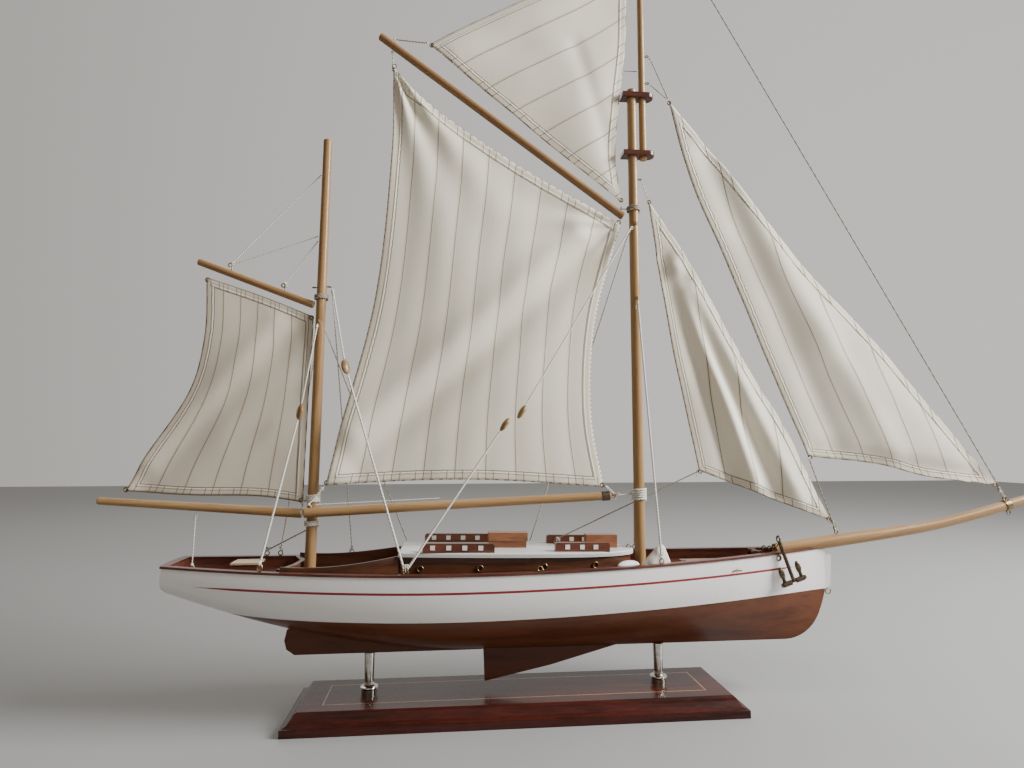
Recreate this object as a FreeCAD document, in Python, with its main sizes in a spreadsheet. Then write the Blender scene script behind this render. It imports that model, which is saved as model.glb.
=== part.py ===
import FreeCAD, Part
import math
import os

from FreeCAD import Placement, Rotation, Vector

# A display model of a gaff-rigged sailing ketch on its stand. Millimetres, +X to the bow,
# +Y to port, +Z up, with the origin at the middle of the stand's underside.

os.makedirs("parts", exist_ok=True)
doc = FreeCAD.newDocument("ketch")

SIZES = {
    # stand
    "base_length": 400, "base_width": 96, "base_height": 16, "base_band": 6.4,
    "base_top_length": 377.6, "base_top_width": 73.2,
    "inlay_length": 340, "inlay_width": 47, "inlay_line": 0.9, "inlay_depth": 0.5,
    "pedestal_reach": 133.3, "pedestal_foot": 6.9, "pedestal_collar": 8.0,
    "pedestal_neck": 4.1, "pedestal_top": 4.8, "pedestal_bore": 1.6,
    "screw_radius": 1.3, "screw_head": 3.2,
    # hull
    "keel_level": 52, "hull_beam": 120, "widest_at": -60, "stern_at": -308, "bow_at": 301,
    "wall": 4, "keel_half": 1.6, "deck_drop": 8, "deck_thick": 3, "rail_thick": 2,
    "rail_width": 5.5, "rail_overhang": 1, "lining_thick": 1, "skeg_thick": 6, "fin_thick": 4,
    # cabin
    "roof_level": 142, "roof_thick": 4, "roof_half": 37, "roof_aft": -107, "roof_fore": 110,
    "cabin_side": 3, "cabin_inset": 2.5,
    # masts and spars
    "main_mast_at": 118, "main_mast_foot": 5.3, "main_mast_head": 4.7, "main_mast_top": 597,
    "topmast_at": 129, "topmast_foot": 3.9, "topmast_head": 2.8, "topmast_top": 838,
    "mizzen_foot": 5.1, "mizzen_head": 4.2, "mizzen_top": 530,
    "cap_length": 33, "cap_width": 14, "cap_thick": 5.5, "lower_cap_at": 526,
    "upper_cap_at": 587,
    "cord_radius": 0.6, "sail_thick": 1.0, "sail_turn": 1.85,
}

sheet = doc.addObject("Spreadsheet::Sheet", "sizes")
for row, (alias, value) in enumerate(SIZES.items(), start=1):
    sheet.set(f"A{row}", alias)
    sheet.set(f"B{row}", str(value))
    sheet.setAlias(f"B{row}", alias)
doc.recompute()


def mm(alias):
    """The number in the sheet's cell of that name."""
    return float(sheet.get(alias))


pieces = []


def keep(thing, label):
    """Counts a document object as one finished piece of the ship."""
    thing.Label = label
    pieces.append(thing)
    return thing


def bind(thing, **sizes):
    """Sets each size, as an expression on the sheet where it is given as text."""
    for name, value in sizes.items():
        if isinstance(value, str):
            thing.setExpression(name, value)
        else:
            setattr(thing, name, value)
    return thing


def made(shape, name="form"):
    """A document object that holds a shape built by Part's own functions."""
    thing = doc.addObject("Part::Feature", name)
    thing.Shape = shape
    return thing


def cut(base, tool, name="cut"):
    thing = doc.addObject("Part::Cut", name)
    thing.Base = base
    thing.Tool = tool
    return thing


def common(base, tool, name="common"):
    thing = doc.addObject("Part::Common", name)
    thing.Base = base
    thing.Tool = tool
    return thing


def group(things, name="group"):
    """Separate solids that share one node."""
    thing = doc.addObject("Part::Compound", name)
    thing.Links = things
    return thing


def fuse(things, name="fuse"):
    thing = doc.addObject("Part::MultiFuse", name)
    thing.Shapes = things
    return thing


def box(low, high, name="block"):
    """An upright block between two corners."""
    thing = doc.addObject("Part::Box", name)
    bind(thing, Length=high[0] - low[0], Width=high[1] - low[1], Height=high[2] - low[2])
    thing.Placement = Placement(Vector(*low), Rotation())
    return thing


def towards(start, end):
    """The placement that stands +Z at start and points it at end."""
    run = Vector(*end) - Vector(*start)
    return Placement(Vector(*start), Rotation(Vector(0, 0, 1), run))


def rod(start, end, radius, name="rod"):
    thing = doc.addObject("Part::Cylinder", name)
    bind(thing, Radius=radius, Height=(Vector(*end) - Vector(*start)).Length)
    thing.Placement = towards(start, end)
    return thing


def ring(centre, axis, major, minor, name="ring"):
    thing = doc.addObject("Part::Torus", name)
    bind(thing, Radius1=major, Radius2=minor)
    thing.Placement = Placement(Vector(*centre), Rotation(Vector(0, 0, 1), Vector(*axis)))
    return thing


def spar(start, end, radius_start, radius_end, name, end_round=0.9):
    """A tapered round spar with its two ends eased."""
    cone = doc.addObject("Part::Cone", name + "_cone")
    bind(cone, Radius1=radius_start, Radius2=radius_end)
    cone.Height = (Vector(*end) - Vector(*start)).Length
    cone.Placement = towards(start, end)
    doc.recompute()
    eased = doc.addObject("Part::Fillet", name)
    eased.Base = cone
    circles = [
        number
        for number, edge in enumerate(cone.Shape.Edges, start=1)
        if edge.isClosed() and edge.Length > 1
    ]
    eased.Edges = [(number, end_round, end_round) for number in circles]
    return eased


def board(points, thick, name, middle=0.0):
    """A flat board that stands on edge in the XZ plane, from its outline."""
    body = doc.addObject("PartDesign::Body", name)
    sketch = body.newObject("Sketcher::SketchObject", name + "_outline")
    plane = next(f for f in body.Origin.OriginFeatures if f.Role == "XZ_Plane")
    sketch.AttachmentSupport = (plane, [""])
    sketch.MapMode = "FlatFace"
    corners = [Vector(x, z, 0) for x, z in points]
    for first, second in zip(corners, corners[1:] + corners[:1]):
        sketch.addGeometry(Part.LineSegment(first, second), False)
    pad = body.newObject("PartDesign::Pad", name + "_pad")
    pad.Profile = sketch
    bind(pad, Length=thick)
    pad.Midplane = True
    body.Placement = Placement(Vector(0, middle, 0), Rotation())
    return body


def turned(profile, name, at=(0, 0, 0)):
    """A piece turned on a lathe about +Z, from its half outline (radius, height)."""
    body = doc.addObject("PartDesign::Body", name)
    sketch = body.newObject("Sketcher::SketchObject", name + "_outline")
    plane = next(f for f in body.Origin.OriginFeatures if f.Role == "XZ_Plane")
    sketch.AttachmentSupport = (plane, [""])
    sketch.MapMode = "FlatFace"
    corners = [Vector(radius, height, 0) for radius, height in profile]
    for first, second in zip(corners, corners[1:] + corners[:1]):
        sketch.addGeometry(Part.LineSegment(first, second), False)
    turn = body.newObject("PartDesign::Revolution", name + "_turn")
    turn.Profile = sketch
    turn.ReferenceAxis = (sketch, ["V_Axis"])
    turn.Angle = 360
    body.Placement = Placement(Vector(*at), Rotation())
    return body


def loft(wires, ruled=False):
    return Part.makeLoft(wires, True, ruled)


def smooth(points):
    """An edge that runs smoothly through the points."""
    curve = Part.BSplineCurve()
    curve.interpolate([Vector(*p) for p in points])
    return curve.toShape()


# ---------------------------------------------------------------- stand
# A mahogany board with a square band at its foot and a moulded edge that leans in to the top.

def base_rectangle(length, width, level):
    x, y = length / 2, width / 2
    corners = [Vector(-x, -y, level), Vector(x, -y, level), Vector(x, y, level)]
    corners += [Vector(-x, y, level), Vector(-x, -y, level)]
    return Part.makePolygon(corners)


base_length, base_width, base_height = mm("base_length"), mm("base_width"), mm("base_height")
lean = (base_length - mm("base_top_length")) / 2
# each step: how far in from the edge, as a share of the lean, and how far up the moulding
moulding = [(0.14, 0.0), (0.45, 0.22), (0.72, 0.6), (0.82, 0.84), (1.0, 1.0)]
moulding_rise = base_height - mm("base_band")
band = doc.addObject("Part::Box", "base_band_block")
bind(band, Length="sizes.base_length", Width="sizes.base_width", Height="sizes.base_band")
band.Placement = Placement(Vector(-base_length / 2, -base_width / 2, 0), Rotation())
rings = [
    base_rectangle(
        base_length - 2 * lean * inward,
        base_width - 2 * lean * inward,
        mm("base_band") + moulding_rise * up,
    )
    for inward, up in moulding
]
moulded = made(loft(rings, ruled=True), "base_moulding")
base_whole = fuse([band, moulded], "base_whole")

inlay_outer = doc.addObject("Part::Box", "inlay_outer")
bind(inlay_outer, Length="sizes.inlay_length", Width="sizes.inlay_width",
     Height="sizes.inlay_depth")
inlay_corner = Vector(-mm("inlay_length") / 2, -mm("inlay_width") / 2,
                      base_height - mm("inlay_depth"))
inlay_outer.Placement = Placement(inlay_corner, Rotation())
inlay_inner = doc.addObject("Part::Box", "inlay_inner")
bind(inlay_inner, Length="sizes.inlay_length - 2 * sizes.inlay_line",
     Width="sizes.inlay_width - 2 * sizes.inlay_line", Height="sizes.inlay_depth")
line = mm("inlay_line")
inlay_inner.Placement = Placement(inlay_corner + Vector(line, line, 0), Rotation())
inlay = keep(cut(inlay_outer, inlay_inner), "base_inlay")

# Nickel-plated turned pedestals, bored through for the long screws that hold the ship.
keel_level = mm("keel_level")
foot, collar = mm("pedestal_foot"), mm("pedestal_collar")
neck, shaft_top, bore = mm("pedestal_neck"), mm("pedestal_top"), mm("pedestal_bore")
stand_height = keel_level - base_height
pedestal_outline = [
    (bore, 0), (foot, 0), (foot, 4.2), (foot - 0.8, 4.8), (collar - 0.5, 5.2),
    (collar, 5.9), (collar - 0.4, 6.7), (neck + 1.6, 7.2), (neck + 0.5, 8.4),
    (neck, 10.5), (shaft_top, stand_height), (bore, stand_height),
]
reach = mm("pedestal_reach")
for name, x in (("pedestal_aft", -reach), ("pedestal_fore", reach)):
    keep(turned(pedestal_outline, name, (x, 0, base_height)), name)

# Two countersunk wood screws come up through the board and the pedestals into the keel.
screw_tip = keel_level + 7
head_level = 2.0
screw_outline = [
    (0, head_level), (mm("screw_head"), head_level), (mm("screw_radius"), head_level + 2.2),
    (mm("screw_radius"), screw_tip - 2), (0, screw_tip),
]
screws = group([turned(screw_outline, f"screw_{n}", (x, 0, 0)) for n, x in enumerate((-reach, reach))])
keep(screws, "stand_screws")
screw_holes = [rod((x, 0, -1), (x, 0, base_height + 1), bore) for x in (-reach, reach)]
head_wells = [rod((x, 0, -1), (x, 0, head_level + 2.2), mm("screw_head") + 0.4)
              for x in (-reach, reach)]
keep(cut(cut(base_whole, inlay), fuse(screw_holes + head_wells)), "base_board")

# ---------------------------------------------------------------- hull
# Half breadth, sheer, keel line and fullness of the sections along the ship.

widest, stern, bow = mm("widest_at"), mm("stern_at"), mm("bow_at")
half_hull = mm("hull_beam") / 2
STATIONS = [-312, -285, -250, -210, -170, -130, -90, -45, 0, 50, 100, 150, 195, 235, 265, 287, bow]


def half_beam(x):
    if x < widest:
        return half_hull - 34 * ((widest - x) / 247) ** 1.7
    return half_hull * (1 - ((x - widest) / 364) ** 2)


def sheer(x):
    """Height of the hull's top edge, lowest a little aft of the middle."""
    if x < -70:
        return 127.6 + 5.6 * ((x + 70) / 235) ** 2
    return 127.6 + 9.1 * ((x + 70) / 370) ** 2


def keel_line(x):
    """Level along the keel, then sweeping up aft to the counter."""
    if x > -40:
        return keel_level
    return keel_level + 54.5 * ((-40 - x) / 267) ** 1.8


def fullness(x):
    if x < widest:
        return 3.4 - 0.5 * (widest - x) / 247
    return 3.4 - 1.9 * ((x - widest) / 364) ** 2


def hull_section(x, shrink, rise=0.0):
    """One cross-section, inside the hull's skin by shrink, as a closed wire."""
    low, high = keel_line(x) + shrink, sheer(x) + rise
    flat = mm("keel_half")
    beam = max(half_beam(x) - shrink, flat + 0.4)
    side = []
    for up in (0, 0.06, 0.15, 0.3, 0.5, 0.75, 1):
        out = flat + (beam - flat) * (1 - (1 - up) ** fullness(x))
        side.append((x, out, low + (high - low) * up))
    port = smooth(side)
    starboard = smooth([(x, -y, z) for x, y, z in reversed(side)])
    top = Part.LineSegment(Vector(*side[-1]), Vector(x, -side[-1][1], high)).toShape()
    bottom = Part.LineSegment(Vector(x, -flat, low), Vector(x, flat, low)).toShape()
    return Part.Wire([port, top, starboard, bottom])


def hull_form(shrink, rise, aft, fore, name):
    places = [aft] + [x for x in STATIONS if aft + 8 < x < fore - 8] + [fore]
    return made(loft([hull_section(x, shrink, rise) for x in places]), name)


def sheer_plate(grow, low, high, aft, fore, name):
    """A level-across plate that follows the sheer, between two heights above it."""
    places = [aft] + [x for x in STATIONS if aft + 8 < x < fore - 8] + [fore]
    wires = []
    for x in places:
        y = max(half_beam(x) + grow, 0.6)
        z_low, z_high = sheer(x) + low, sheer(x) + high
        corners = [Vector(x, -y, z_low), Vector(x, y, z_low), Vector(x, y, z_high)]
        corners += [Vector(x, -y, z_high), Vector(x, -y, z_low)]
        wires.append(Part.makePolygon(corners))
    return made(loft(wires), name)


wall = mm("wall")
outer_form = hull_form(0, 0, -312, bow, "outer_form")
inner_form = hull_form(wall, 3, stern + wall + 2, bow - 24, "inner_form")
lined_form = hull_form(wall + mm("lining_thick"), 4, stern + wall + 4, bow - 28, "lined_form")

# The transom is raked and slightly rounded across; this takes the hull's aft end off to it.
def transom_cutter(back, name):
    round_radius = 170
    block = Part.makeBox(60, 200, 80, Vector(stern - 50 - back, -100, 90))
    barrel = Part.makeCylinder(round_radius, 90, Vector(stern + round_radius - back, 0, 85))
    tool = block.cut(barrel)
    tool.rotate(Vector(stern, 0, 133), Vector(0, 1, 0), 7)
    return made(tool, name)


# The forefoot is rounded up from the keel to the stem.
forefoot_edge = smooth([(258, 0, keel_level), (276, 0, 57), (287.5, 0, 67), (296, 0, 83), (bow, 0, 98)])
forefoot_rim = Part.makePolygon([Vector(bow, 0, 98), Vector(330, 0, 98), Vector(330, 0, 30),
                                 Vector(258, 0, 30), Vector(258, 0, keel_level)])
forefoot_face = Part.Face(Part.Wire([forefoot_edge] + forefoot_rim.Edges))
forefoot = made(forefoot_face.extrude(Vector(0, 40, 0)), "forefoot_cutter")
forefoot.Placement = Placement(Vector(0, -20, 0), Rotation())

# Below the painted waterline the hull is one varnished block; above it, a painted shell.
def waterline(x):
    return 89.3 + 5.25e-5 * (x + 120) ** 2


water_arc = Part.Arc(*[Vector(x, 0, waterline(x)) for x in (-330, -10, 320)]).toShape()
water_rim = Part.makePolygon([Vector(320, 0, waterline(320)), Vector(320, 0, 20),
                              Vector(-330, 0, 20), Vector(-330, 0, waterline(-330))])
water_face = Part.Face(Part.Wire([water_arc] + water_rim.Edges))
below_water = made(water_face.extrude(Vector(0, 160, 0)), "below_water")
below_water.Placement = Placement(Vector(0, -80, 0), Rotation())

hull_shape = cut(cut(outer_form, transom_cutter(0, "transom_cutter")), forefoot, "hull_shape")
bottom_block = common(hull_shape, below_water, "bottom_block")
skin = cut(hull_shape, below_water, "hull_skin")
topsides = cut(skin, inner_form, "topsides")

# Five plywood frames stand inside the shell, on the bottom block, under the deck.
deck_drop, deck_thick = mm("deck_drop"), mm("deck_thick")
under_deck = sheer_plate(20, -70, -deck_drop - deck_thick, stern + 6, bow - 24, "under_deck")
hollow = common(cut(inner_form, below_water), under_deck, "hollow")
frame_slabs = [box((x - 1.5, -80, 60), (x + 1.5, 80, 150)) for x in (-240, -150, -60, 40, 170)]
keep(common(hollow, fuse(frame_slabs), "frames"), "hull_frames")

# White stem post on the hull's fore end.
stem_outline = [(bow, 98.4), (306.6, 101), (308.6, 131), (302.8, 130.4), (302.4, 134), (bow, 134)]
keep(board(stem_outline, 2 * mm("keel_half"), "stem_post"), "stem_post")

# Skeg on the centre plane aft, rounded at its heel, cut to the hull's run.
skeg_outline = [(-206, 74), (-208, 64.5), (-206, 57), (-199, 52), (-32, 52), (-32, 60), (-120, 80)]
skeg_board = board(skeg_outline, "sizes.skeg_thick", "skeg_board")
keep(cut(cut(skeg_board, outer_form), screws), "skeg")

# Fixed centreboard under the keel.
fin_outline = [(-31, keel_level), (-29.8, 23.6), (31, 36), (92, keel_level)]
fin_board = board(fin_outline, "sizes.fin_thick", "centreboard_board")
keep(cut(fin_board, outer_form), "centreboard")

# ---------------------------------------------------------------- lines of the spars
# Both masts stand on the bottom block.

mast_foot = 90.2
# The mizzen mast leans forward by a few millimetres over its height.
mizzen_foot_point = Vector(-188.5, 0, mast_foot)
mizzen_top_point = Vector(-182, 0, mm("mizzen_top"))
mizzen_line = (mizzen_top_point - mizzen_foot_point).normalize()


def mizzen_point(level):
    """The middle of the mizzen mast at a height."""
    return mizzen_foot_point + mizzen_line * ((level - mast_foot) / mizzen_line.z)


# The bowsprit bends up a little along its length. The rail and topsides are notched for it.
BOWSPRIT = [(252, 135.6, 6.1), (300, 141.8, 6.2), (355, 148.4, 5.7), (415, 156.6, 5.0),
            (460, 166.0, 4.9), (500, 176.0, 4.8), (531, 184.2, 3.4)]
bowsprit_run = Part.BSplineCurve()
bowsprit_run.interpolate([Vector(x, 0, z) for x, z, _ in BOWSPRIT])
hoops = []
for x, z, radius in BOWSPRIT:
    along = bowsprit_run.tangent(bowsprit_run.parameter(Vector(x, 0, z)))[0]
    hoops.append(Part.Wire([Part.Circle(Vector(x, 0, z), along, radius).toShape()]))
bowsprit_form = made(loft(hoops), "bowsprit_form")

# ---------------------------------------------------------------- deck and rail

deck_slab = sheer_plate(20, -deck_drop - deck_thick, -deck_drop, stern + 6, bow - 24, "deck_slab")
deck_blank = common(inner_form, deck_slab, "deck_blank")
lining_slab = sheer_plate(20, -deck_drop, 0, stern + 6, bow - 24, "lining_slab")
lining = common(cut(inner_form, lined_form), lining_slab, "lining")
keep(cut(lining, bowsprit_form), "bulwark_lining")

rail_outer = sheer_plate(mm("rail_overhang"), 0, mm("rail_thick"), -313, bow + 1.5, "rail_outer")
rail_inner = sheer_plate(-mm("rail_width"), -1, 4, stern + 7, bow - 30, "rail_inner")
rail_blank = cut(cut(rail_outer, rail_inner), transom_cutter(1.2, "rail_cutter"), "rail_blank")


def eye(place, axis=(0, 1, 0), down=(0, 0, -1), major=2.0, shank=5.0):
    """A brass screw eye: a ring at place, and its shank along down."""
    hoop = ring(place, axis, major, 0.5)
    start = Vector(*place) + Vector(*down) * (major - 0.2)
    return fuse([hoop, rod(tuple(start), tuple(start + Vector(*down) * shank), 0.55)], "eye")


def deck_level(x):
    return sheer(x) - deck_drop


def rail_level(x):
    return sheer(x) + mm("rail_thick")


def rail_eye_place(x, side):
    """Where a ring stands over the middle of the rail. side is 1 to port, -1 to starboard."""
    return (x, side * (half_beam(x) - 2.2), rail_level(x) + 2.4)


RAIL_EYES = [(-99, -1), (-102, 1), (-221, -1), (-224, 1), (-236, 1), (-158, 1), (14, -1),
             (18, 1), (125, -1), (125, 1)]
rail_eyes = [eye(rail_eye_place(x, side)) for x, side in RAIL_EYES]
stem_eye = eye((304.9, 0, 95.5), axis=(0, 1, 0), down=(-1, 0, 0.3), major=2.5, shank=3)
roof_eye = eye((40.4, 19.3, mm("roof_level") + 3.0), shank=4)
roof_hook = eye((106, -4, 141.8), shank=3)
stern_eye = eye((-289, -8, deck_level(-289) + 2.6), shank=4)
# Low bent-wire fairleads on the bow's topsides, with both ends let into the planking, and round
# hawse bosses a little further forward, under the rail.
FAIRLEAD_RUN = ((196, -5, 121.9), (196, 0.3, 122.0), (200.8, 0.6, 123.2), (205.6, 0.3, 122.7),
                (205.6, -5, 122.6))
fairleads, hawse_bosses = [], []
for side in (1, -1):
    run = [(x, side * (half_beam(x) + out), z) for x, out, z in FAIRLEAD_RUN]
    fairleads.append(fuse([rod(first, second, 0.65) for first, second in zip(run, run[1:])]))
    boss = rod((246.2, side * 11, 130.9), (246.9, side * 17.9, 130.9), 3.0)
    hawse_bosses.append(cut(boss, rod((246.1, side * 10, 130.9), (247, side * 19, 130.9), 1.7)))
fairlead_arcs = cut(group(fairleads + hawse_bosses), outer_form)
deck_eyes = group(rail_eyes + [stem_eye, roof_eye, roof_hook, stern_eye], "deck_eyes")
keep(group([deck_eyes, fairlead_arcs]), "deck_fittings")
keep(cut(rail_blank, fuse([deck_eyes, bowsprit_form])), "cap_rail")
keep(cut(topsides, fuse([deck_eyes, bowsprit_form])), "hull_topsides")

main_mast_at, topmast_at = mm("main_mast_at"), mm("topmast_at")
mast_step = rod((main_mast_at, 0, mast_foot), (main_mast_at, 0, 100), mm("main_mast_foot"))
keep(cut(bottom_block, fuse([screws, deck_eyes, mast_step])), "hull_bottom")
mast_holes = [rod((main_mast_at, 0, 100), (main_mast_at, 0, 150), mm("main_mast_foot") + 0.1),
              rod(tuple(mizzen_point(100)), tuple(mizzen_point(150)), mm("mizzen_foot") + 0.1)]
keep(cut(cut(deck_blank, fuse(mast_holes)), deck_eyes), "deck")

# ---------------------------------------------------------------- cabin
# The cabin top leans forward a little. Everything on it is placed in the roof's own frame,
# whose origin is on the roof's upper face.

roof_tilt = Placement(Vector(0, 0, 142.6), Rotation(Vector(0, 1, 0), 1.0))
roof_aft, roof_fore, roof_half = mm("roof_aft"), mm("roof_fore"), mm("roof_half")
roof_thick, cabin_side = mm("roof_thick"), mm("cabin_side")


def on_roof(things, label):
    """Moves pieces from the roof's frame into the ship's."""
    seated = group(things, label)
    seated.Placement = roof_tilt
    return keep(seated, label)


def roof_breadth(x, inset=0.0):
    """Half breadth of the cabin top: nearly straight sides and a blunt round nose."""
    half, fore = roof_half - inset, roof_fore - inset
    if x < -20:
        return half - 4 * ((-20 - x) / 87) ** 2
    return half * max(0.0, 1 - ((x + 20) / (fore + 20)) ** 3) ** (1 / 2.4)


def cabin_plan(inset, aft):
    """Plan of the cabin at a height of zero, inset from the roof's edge, as a face."""
    fore = roof_fore - inset
    places = (aft, -60, -20, 20, 50, 75, fore - 18, fore - 7, fore - 1.5, fore)
    side = [(x, roof_breadth(x, inset), 0) for x in places]
    edge = smooth(side + [(x, -y, 0) for x, y, _ in reversed(side[:-1])])
    aft_edge = Part.LineSegment(Vector(*side[0]), Vector(aft, -side[0][1], 0)).toShape()
    return Part.Face(Part.Wire([edge, aft_edge]))


roof_block = cabin_plan(0, roof_aft).extrude(Vector(0, 0, -roof_thick))
upper_edges = [e for e in roof_block.Edges if all(abs(v.Z) < 0.01 for v in e.Vertexes)]
roof_form = made(roof_block.makeFillet(1.4, upper_edges), "roof_form")
roof_form.Placement = roof_tilt
keep(cut(roof_form, deck_eyes), "cabin_roof")

# Mahogany cabin sides, bent round the nose, from the deck to the roof's underside.
side_outer = cabin_plan(mm("cabin_inset"), roof_aft + 2).extrude(Vector(0, 0, 40))
inner_inset = mm("cabin_inset") + cabin_side
side_inner = cabin_plan(inner_inset, roof_aft + 2 + cabin_side).extrude(Vector(0, 0, 40))
side_blank = made(side_outer.cut(side_inner), "side_blank")
side_blank.Placement = Placement(Vector(0, 0, 110), Rotation())
above_roof = box((-200, -100, -roof_thick), (200, 100, 60), "above_roof")
above_roof.Placement = roof_tilt.multiply(Placement(Vector(-200, -100, -roof_thick), Rotation()))
below_deck = sheer_plate(20, -60, -deck_drop, stern + 6, bow - 24, "below_deck")
keep(cut(cut(side_blank, above_roof), below_deck), "cabin_sides")

# Cockpit coamings sweep down from the cabin and run aft along both sides.
coaming_top = smooth([(roof_aft, 0, 141), (-122, 0, 138.6), (-148, 0, 135.4), (-205, 0, 135)])
coaming_rim = Part.makePolygon([Vector(-205, 0, 135), Vector(-205, 0, 100),
                                Vector(roof_aft, 0, 100), Vector(roof_aft, 0, 141)])
coaming_face = Part.Face(Part.Wire([coaming_top] + coaming_rim.Edges))
coaming_profile = made(coaming_face.extrude(Vector(0, 100, 0)), "coaming_profile")
coaming_profile.Placement = Placement(Vector(0, -50, 0), Rotation())


def coaming_wall(side):
    """The bent board in plan, as tall as the profile that trims it."""
    inner = [(roof_aft - 0.05, 28), (-130, 32.5), (-165, 36), (-205, 37)]
    outer = [(x, y + 2.5) for x, y in inner]
    edges = [smooth([(x, side * y, 0) for x, y in inner]),
             smooth([(x, side * y, 0) for x, y in outer])]
    for (x_in, y_in), (x_out, y_out) in ((inner[0], outer[0]), (inner[-1], outer[-1])):
        edges.append(Part.LineSegment(Vector(x_in, side * y_in, 0),
                                      Vector(x_out, side * y_out, 0)).toShape())
    plan = Part.Face(Part.Wire(Part.__sortEdges__(edges)))
    wall_piece = made(plan.extrude(Vector(0, 0, 60)), "coaming_wall")
    wall_piece.Placement = Placement(Vector(0, 0, 95), Rotation())
    return cut(common(wall_piece, coaming_profile), below_deck)


keep(group([coaming_wall(1), coaming_wall(-1)]), "cockpit_coamings")

# Long narrow skylights along both edges of the roof, with square panes let through them.
SKYLIGHT_DEEP, SKYLIGHT_TALL = 6, 8
SKYLIGHTS = {
    "skylights_aft": (-86.3, 63.0, 32.3, (8.8, 22.8, 36.8, 50.8)),
    "skylights_fore": (31.7, 50.0, 25.6, (11.2, 24.6, 37.0)),
}
panes = []
for label, (aft, length, middle, windows) in SKYLIGHTS.items():
    pair = []
    for side in (1, -1):
        y = side * middle
        block = box((aft, y - SKYLIGHT_DEEP / 2, 0),
                    (aft + length, y + SKYLIGHT_DEEP / 2, SKYLIGHT_TALL), "skylight_block")
        doc.recompute()
        ends = [n for n, e in enumerate(block.Shape.Edges, start=1)
                if abs(e.Length - SKYLIGHT_DEEP) < 0.01 and e.CenterOfMass.z > 1]
        eased = doc.addObject("Part::Fillet", "skylight")
        eased.Base = block
        eased.Edges = [(n, 2.6, 2.6) for n in ends]
        glass = [box((aft + at - 2.1, y - 3.2, 2.2), (aft + at + 2.1, y + 3.2, 6.2), "pane")
                 for at in windows]
        panes += glass
        pair.append(cut(eased, fuse(glass)))
    on_roof(pair, label)
on_roof(panes, "window_panes")

# Companion hatch with its thick sliding lid, and the plain fore hatch.
hatch_body = box((-26, -6, 0), (8.4, 6, 6), "hatch_body")
hatch_lid = box((-27, -6.6, 6), (9.4, 6.6, 13.8), "hatch_lid")
on_roof([hatch_body, hatch_lid], "companion_hatch")
on_roof([box((65, -5, 0), (94.5, 5.5, 12), "fore_hatch_block")], "fore_hatch")

# Brass porthole rims stand on the outer faces of the cabin sides.
rims = []
for x in (-88, -36, 21, 68):
    for side in (1, -1):
        face = roof_breadth(x) - mm("cabin_inset")
        slope = (roof_breadth(x + 1) - roof_breadth(x - 1)) / 2
        rims.append(ring((x, side * (face + 0.75), 130), (-slope, side, 0), 2.5, 0.6))
keep(cut(group(rims), side_blank), "portholes")

# ---------------------------------------------------------------- deck furniture

cockpit_x, locker_top = -242, 134.2
locker_sole = deck_level(cockpit_x - 12)
locker = box((cockpit_x - 11, -11, locker_sole), (cockpit_x + 11, 9, locker_top - 1.6))
keep(cut(locker, deck_slab), "cockpit_locker")
keep(box((cockpit_x - 12, -12, locker_top - 1.6), (cockpit_x + 12, 10, locker_top)), "locker_lid")

# A bent thwart board crosses the cockpit behind the mizzen mast.
thwart_points = [(-206, -36.8), (-196.5, -14), (-194.5, 14), (-206, 36.8), (-209, 35.5),
                 (-199, 11), (-201, -11), (-209, -35.5)]
thwart_wire = Part.makePolygon([Vector(x, y, 0) for x, y in thwart_points + thwart_points[:1]])
thwart = made(Part.Face(thwart_wire).extrude(Vector(0, 0, 7)), "thwart_board")
thwart.Placement = Placement(Vector(0, 0, 125.4), Rotation())
keep(thwart, "thwart")

# Windlass: two cheeks with a drum between them.
windlass_x = 232
sole = deck_level(windlass_x + 9)
cheeks = [box((windlass_x - 4, y - 1.2, sole), (windlass_x + 4, y + 1.2, sole + 10.5))
          for y in (-6.5, 6.5)]
drum = rod((windlass_x, -9.5, sole + 7.2), (windlass_x, 9.5, sole + 7.2), 3.0)
keep(fuse(cheeks + [drum]), "windlass")

# Canvas folded into a peaked bundle, abreast of the main mast.
bundle_x, bundle_y = 124, -25
bundle_sole = deck_level(143) + 0.3
bundle_rings = []
for up, long, deep in ((0, 17.5, 8.5), (7, 16.5, 8), (14, 11, 6), (20, 5.5, 3.5), (24, 2, 1.6)):
    oval = Part.Ellipse(Vector(bundle_x + 0.25 * up, bundle_y, bundle_sole + up), long, deep).toShape()
    bundle_rings.append(Part.Wire([oval]))
keep(made(loft(bundle_rings)), "canvas_bundle")

fender = doc.addObject("Part::Ellipsoid", "fender_form")
bind(fender, Radius1=5.2, Radius2=12, Radius3=5.2)
fender.Placement = Placement(Vector(97.5, -32, deck_level(112) + 7.6),
                             Rotation(Vector(0, 0, 1), 20).multiply(Rotation(Vector(0, 1, 0), 11)))
keep(fender, "fender")

# Spare planks lie on the foredeck.
planks = []
for y, aft, fore in ((-9, 158, 212), (0, 163, 216), (8.5, 160, 208)):
    low = deck_level(fore) + 0.2
    planks.append(box((aft, y - 3.4, low), (fore, y + 3.4, low + 1.8)))
keep(group(planks), "deck_planks")

# ---------------------------------------------------------------- masts, caps and bowsprit

main_mast = spar((main_mast_at, 0, mast_foot), (main_mast_at, 0, mm("main_mast_top")),
                 "sizes.main_mast_foot", "sizes.main_mast_head", "main_mast_spar")
topmast = spar((topmast_at, 0, mm("lower_cap_at") - 3), (topmast_at, 0, mm("topmast_top")),
               "sizes.topmast_foot", "sizes.topmast_head", "topmast_spar", 1.5)
mizzen_mast = spar(tuple(mizzen_foot_point), tuple(mizzen_top_point),
                   "sizes.mizzen_foot", "sizes.mizzen_head", "mizzen_spar", 1.5)


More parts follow.
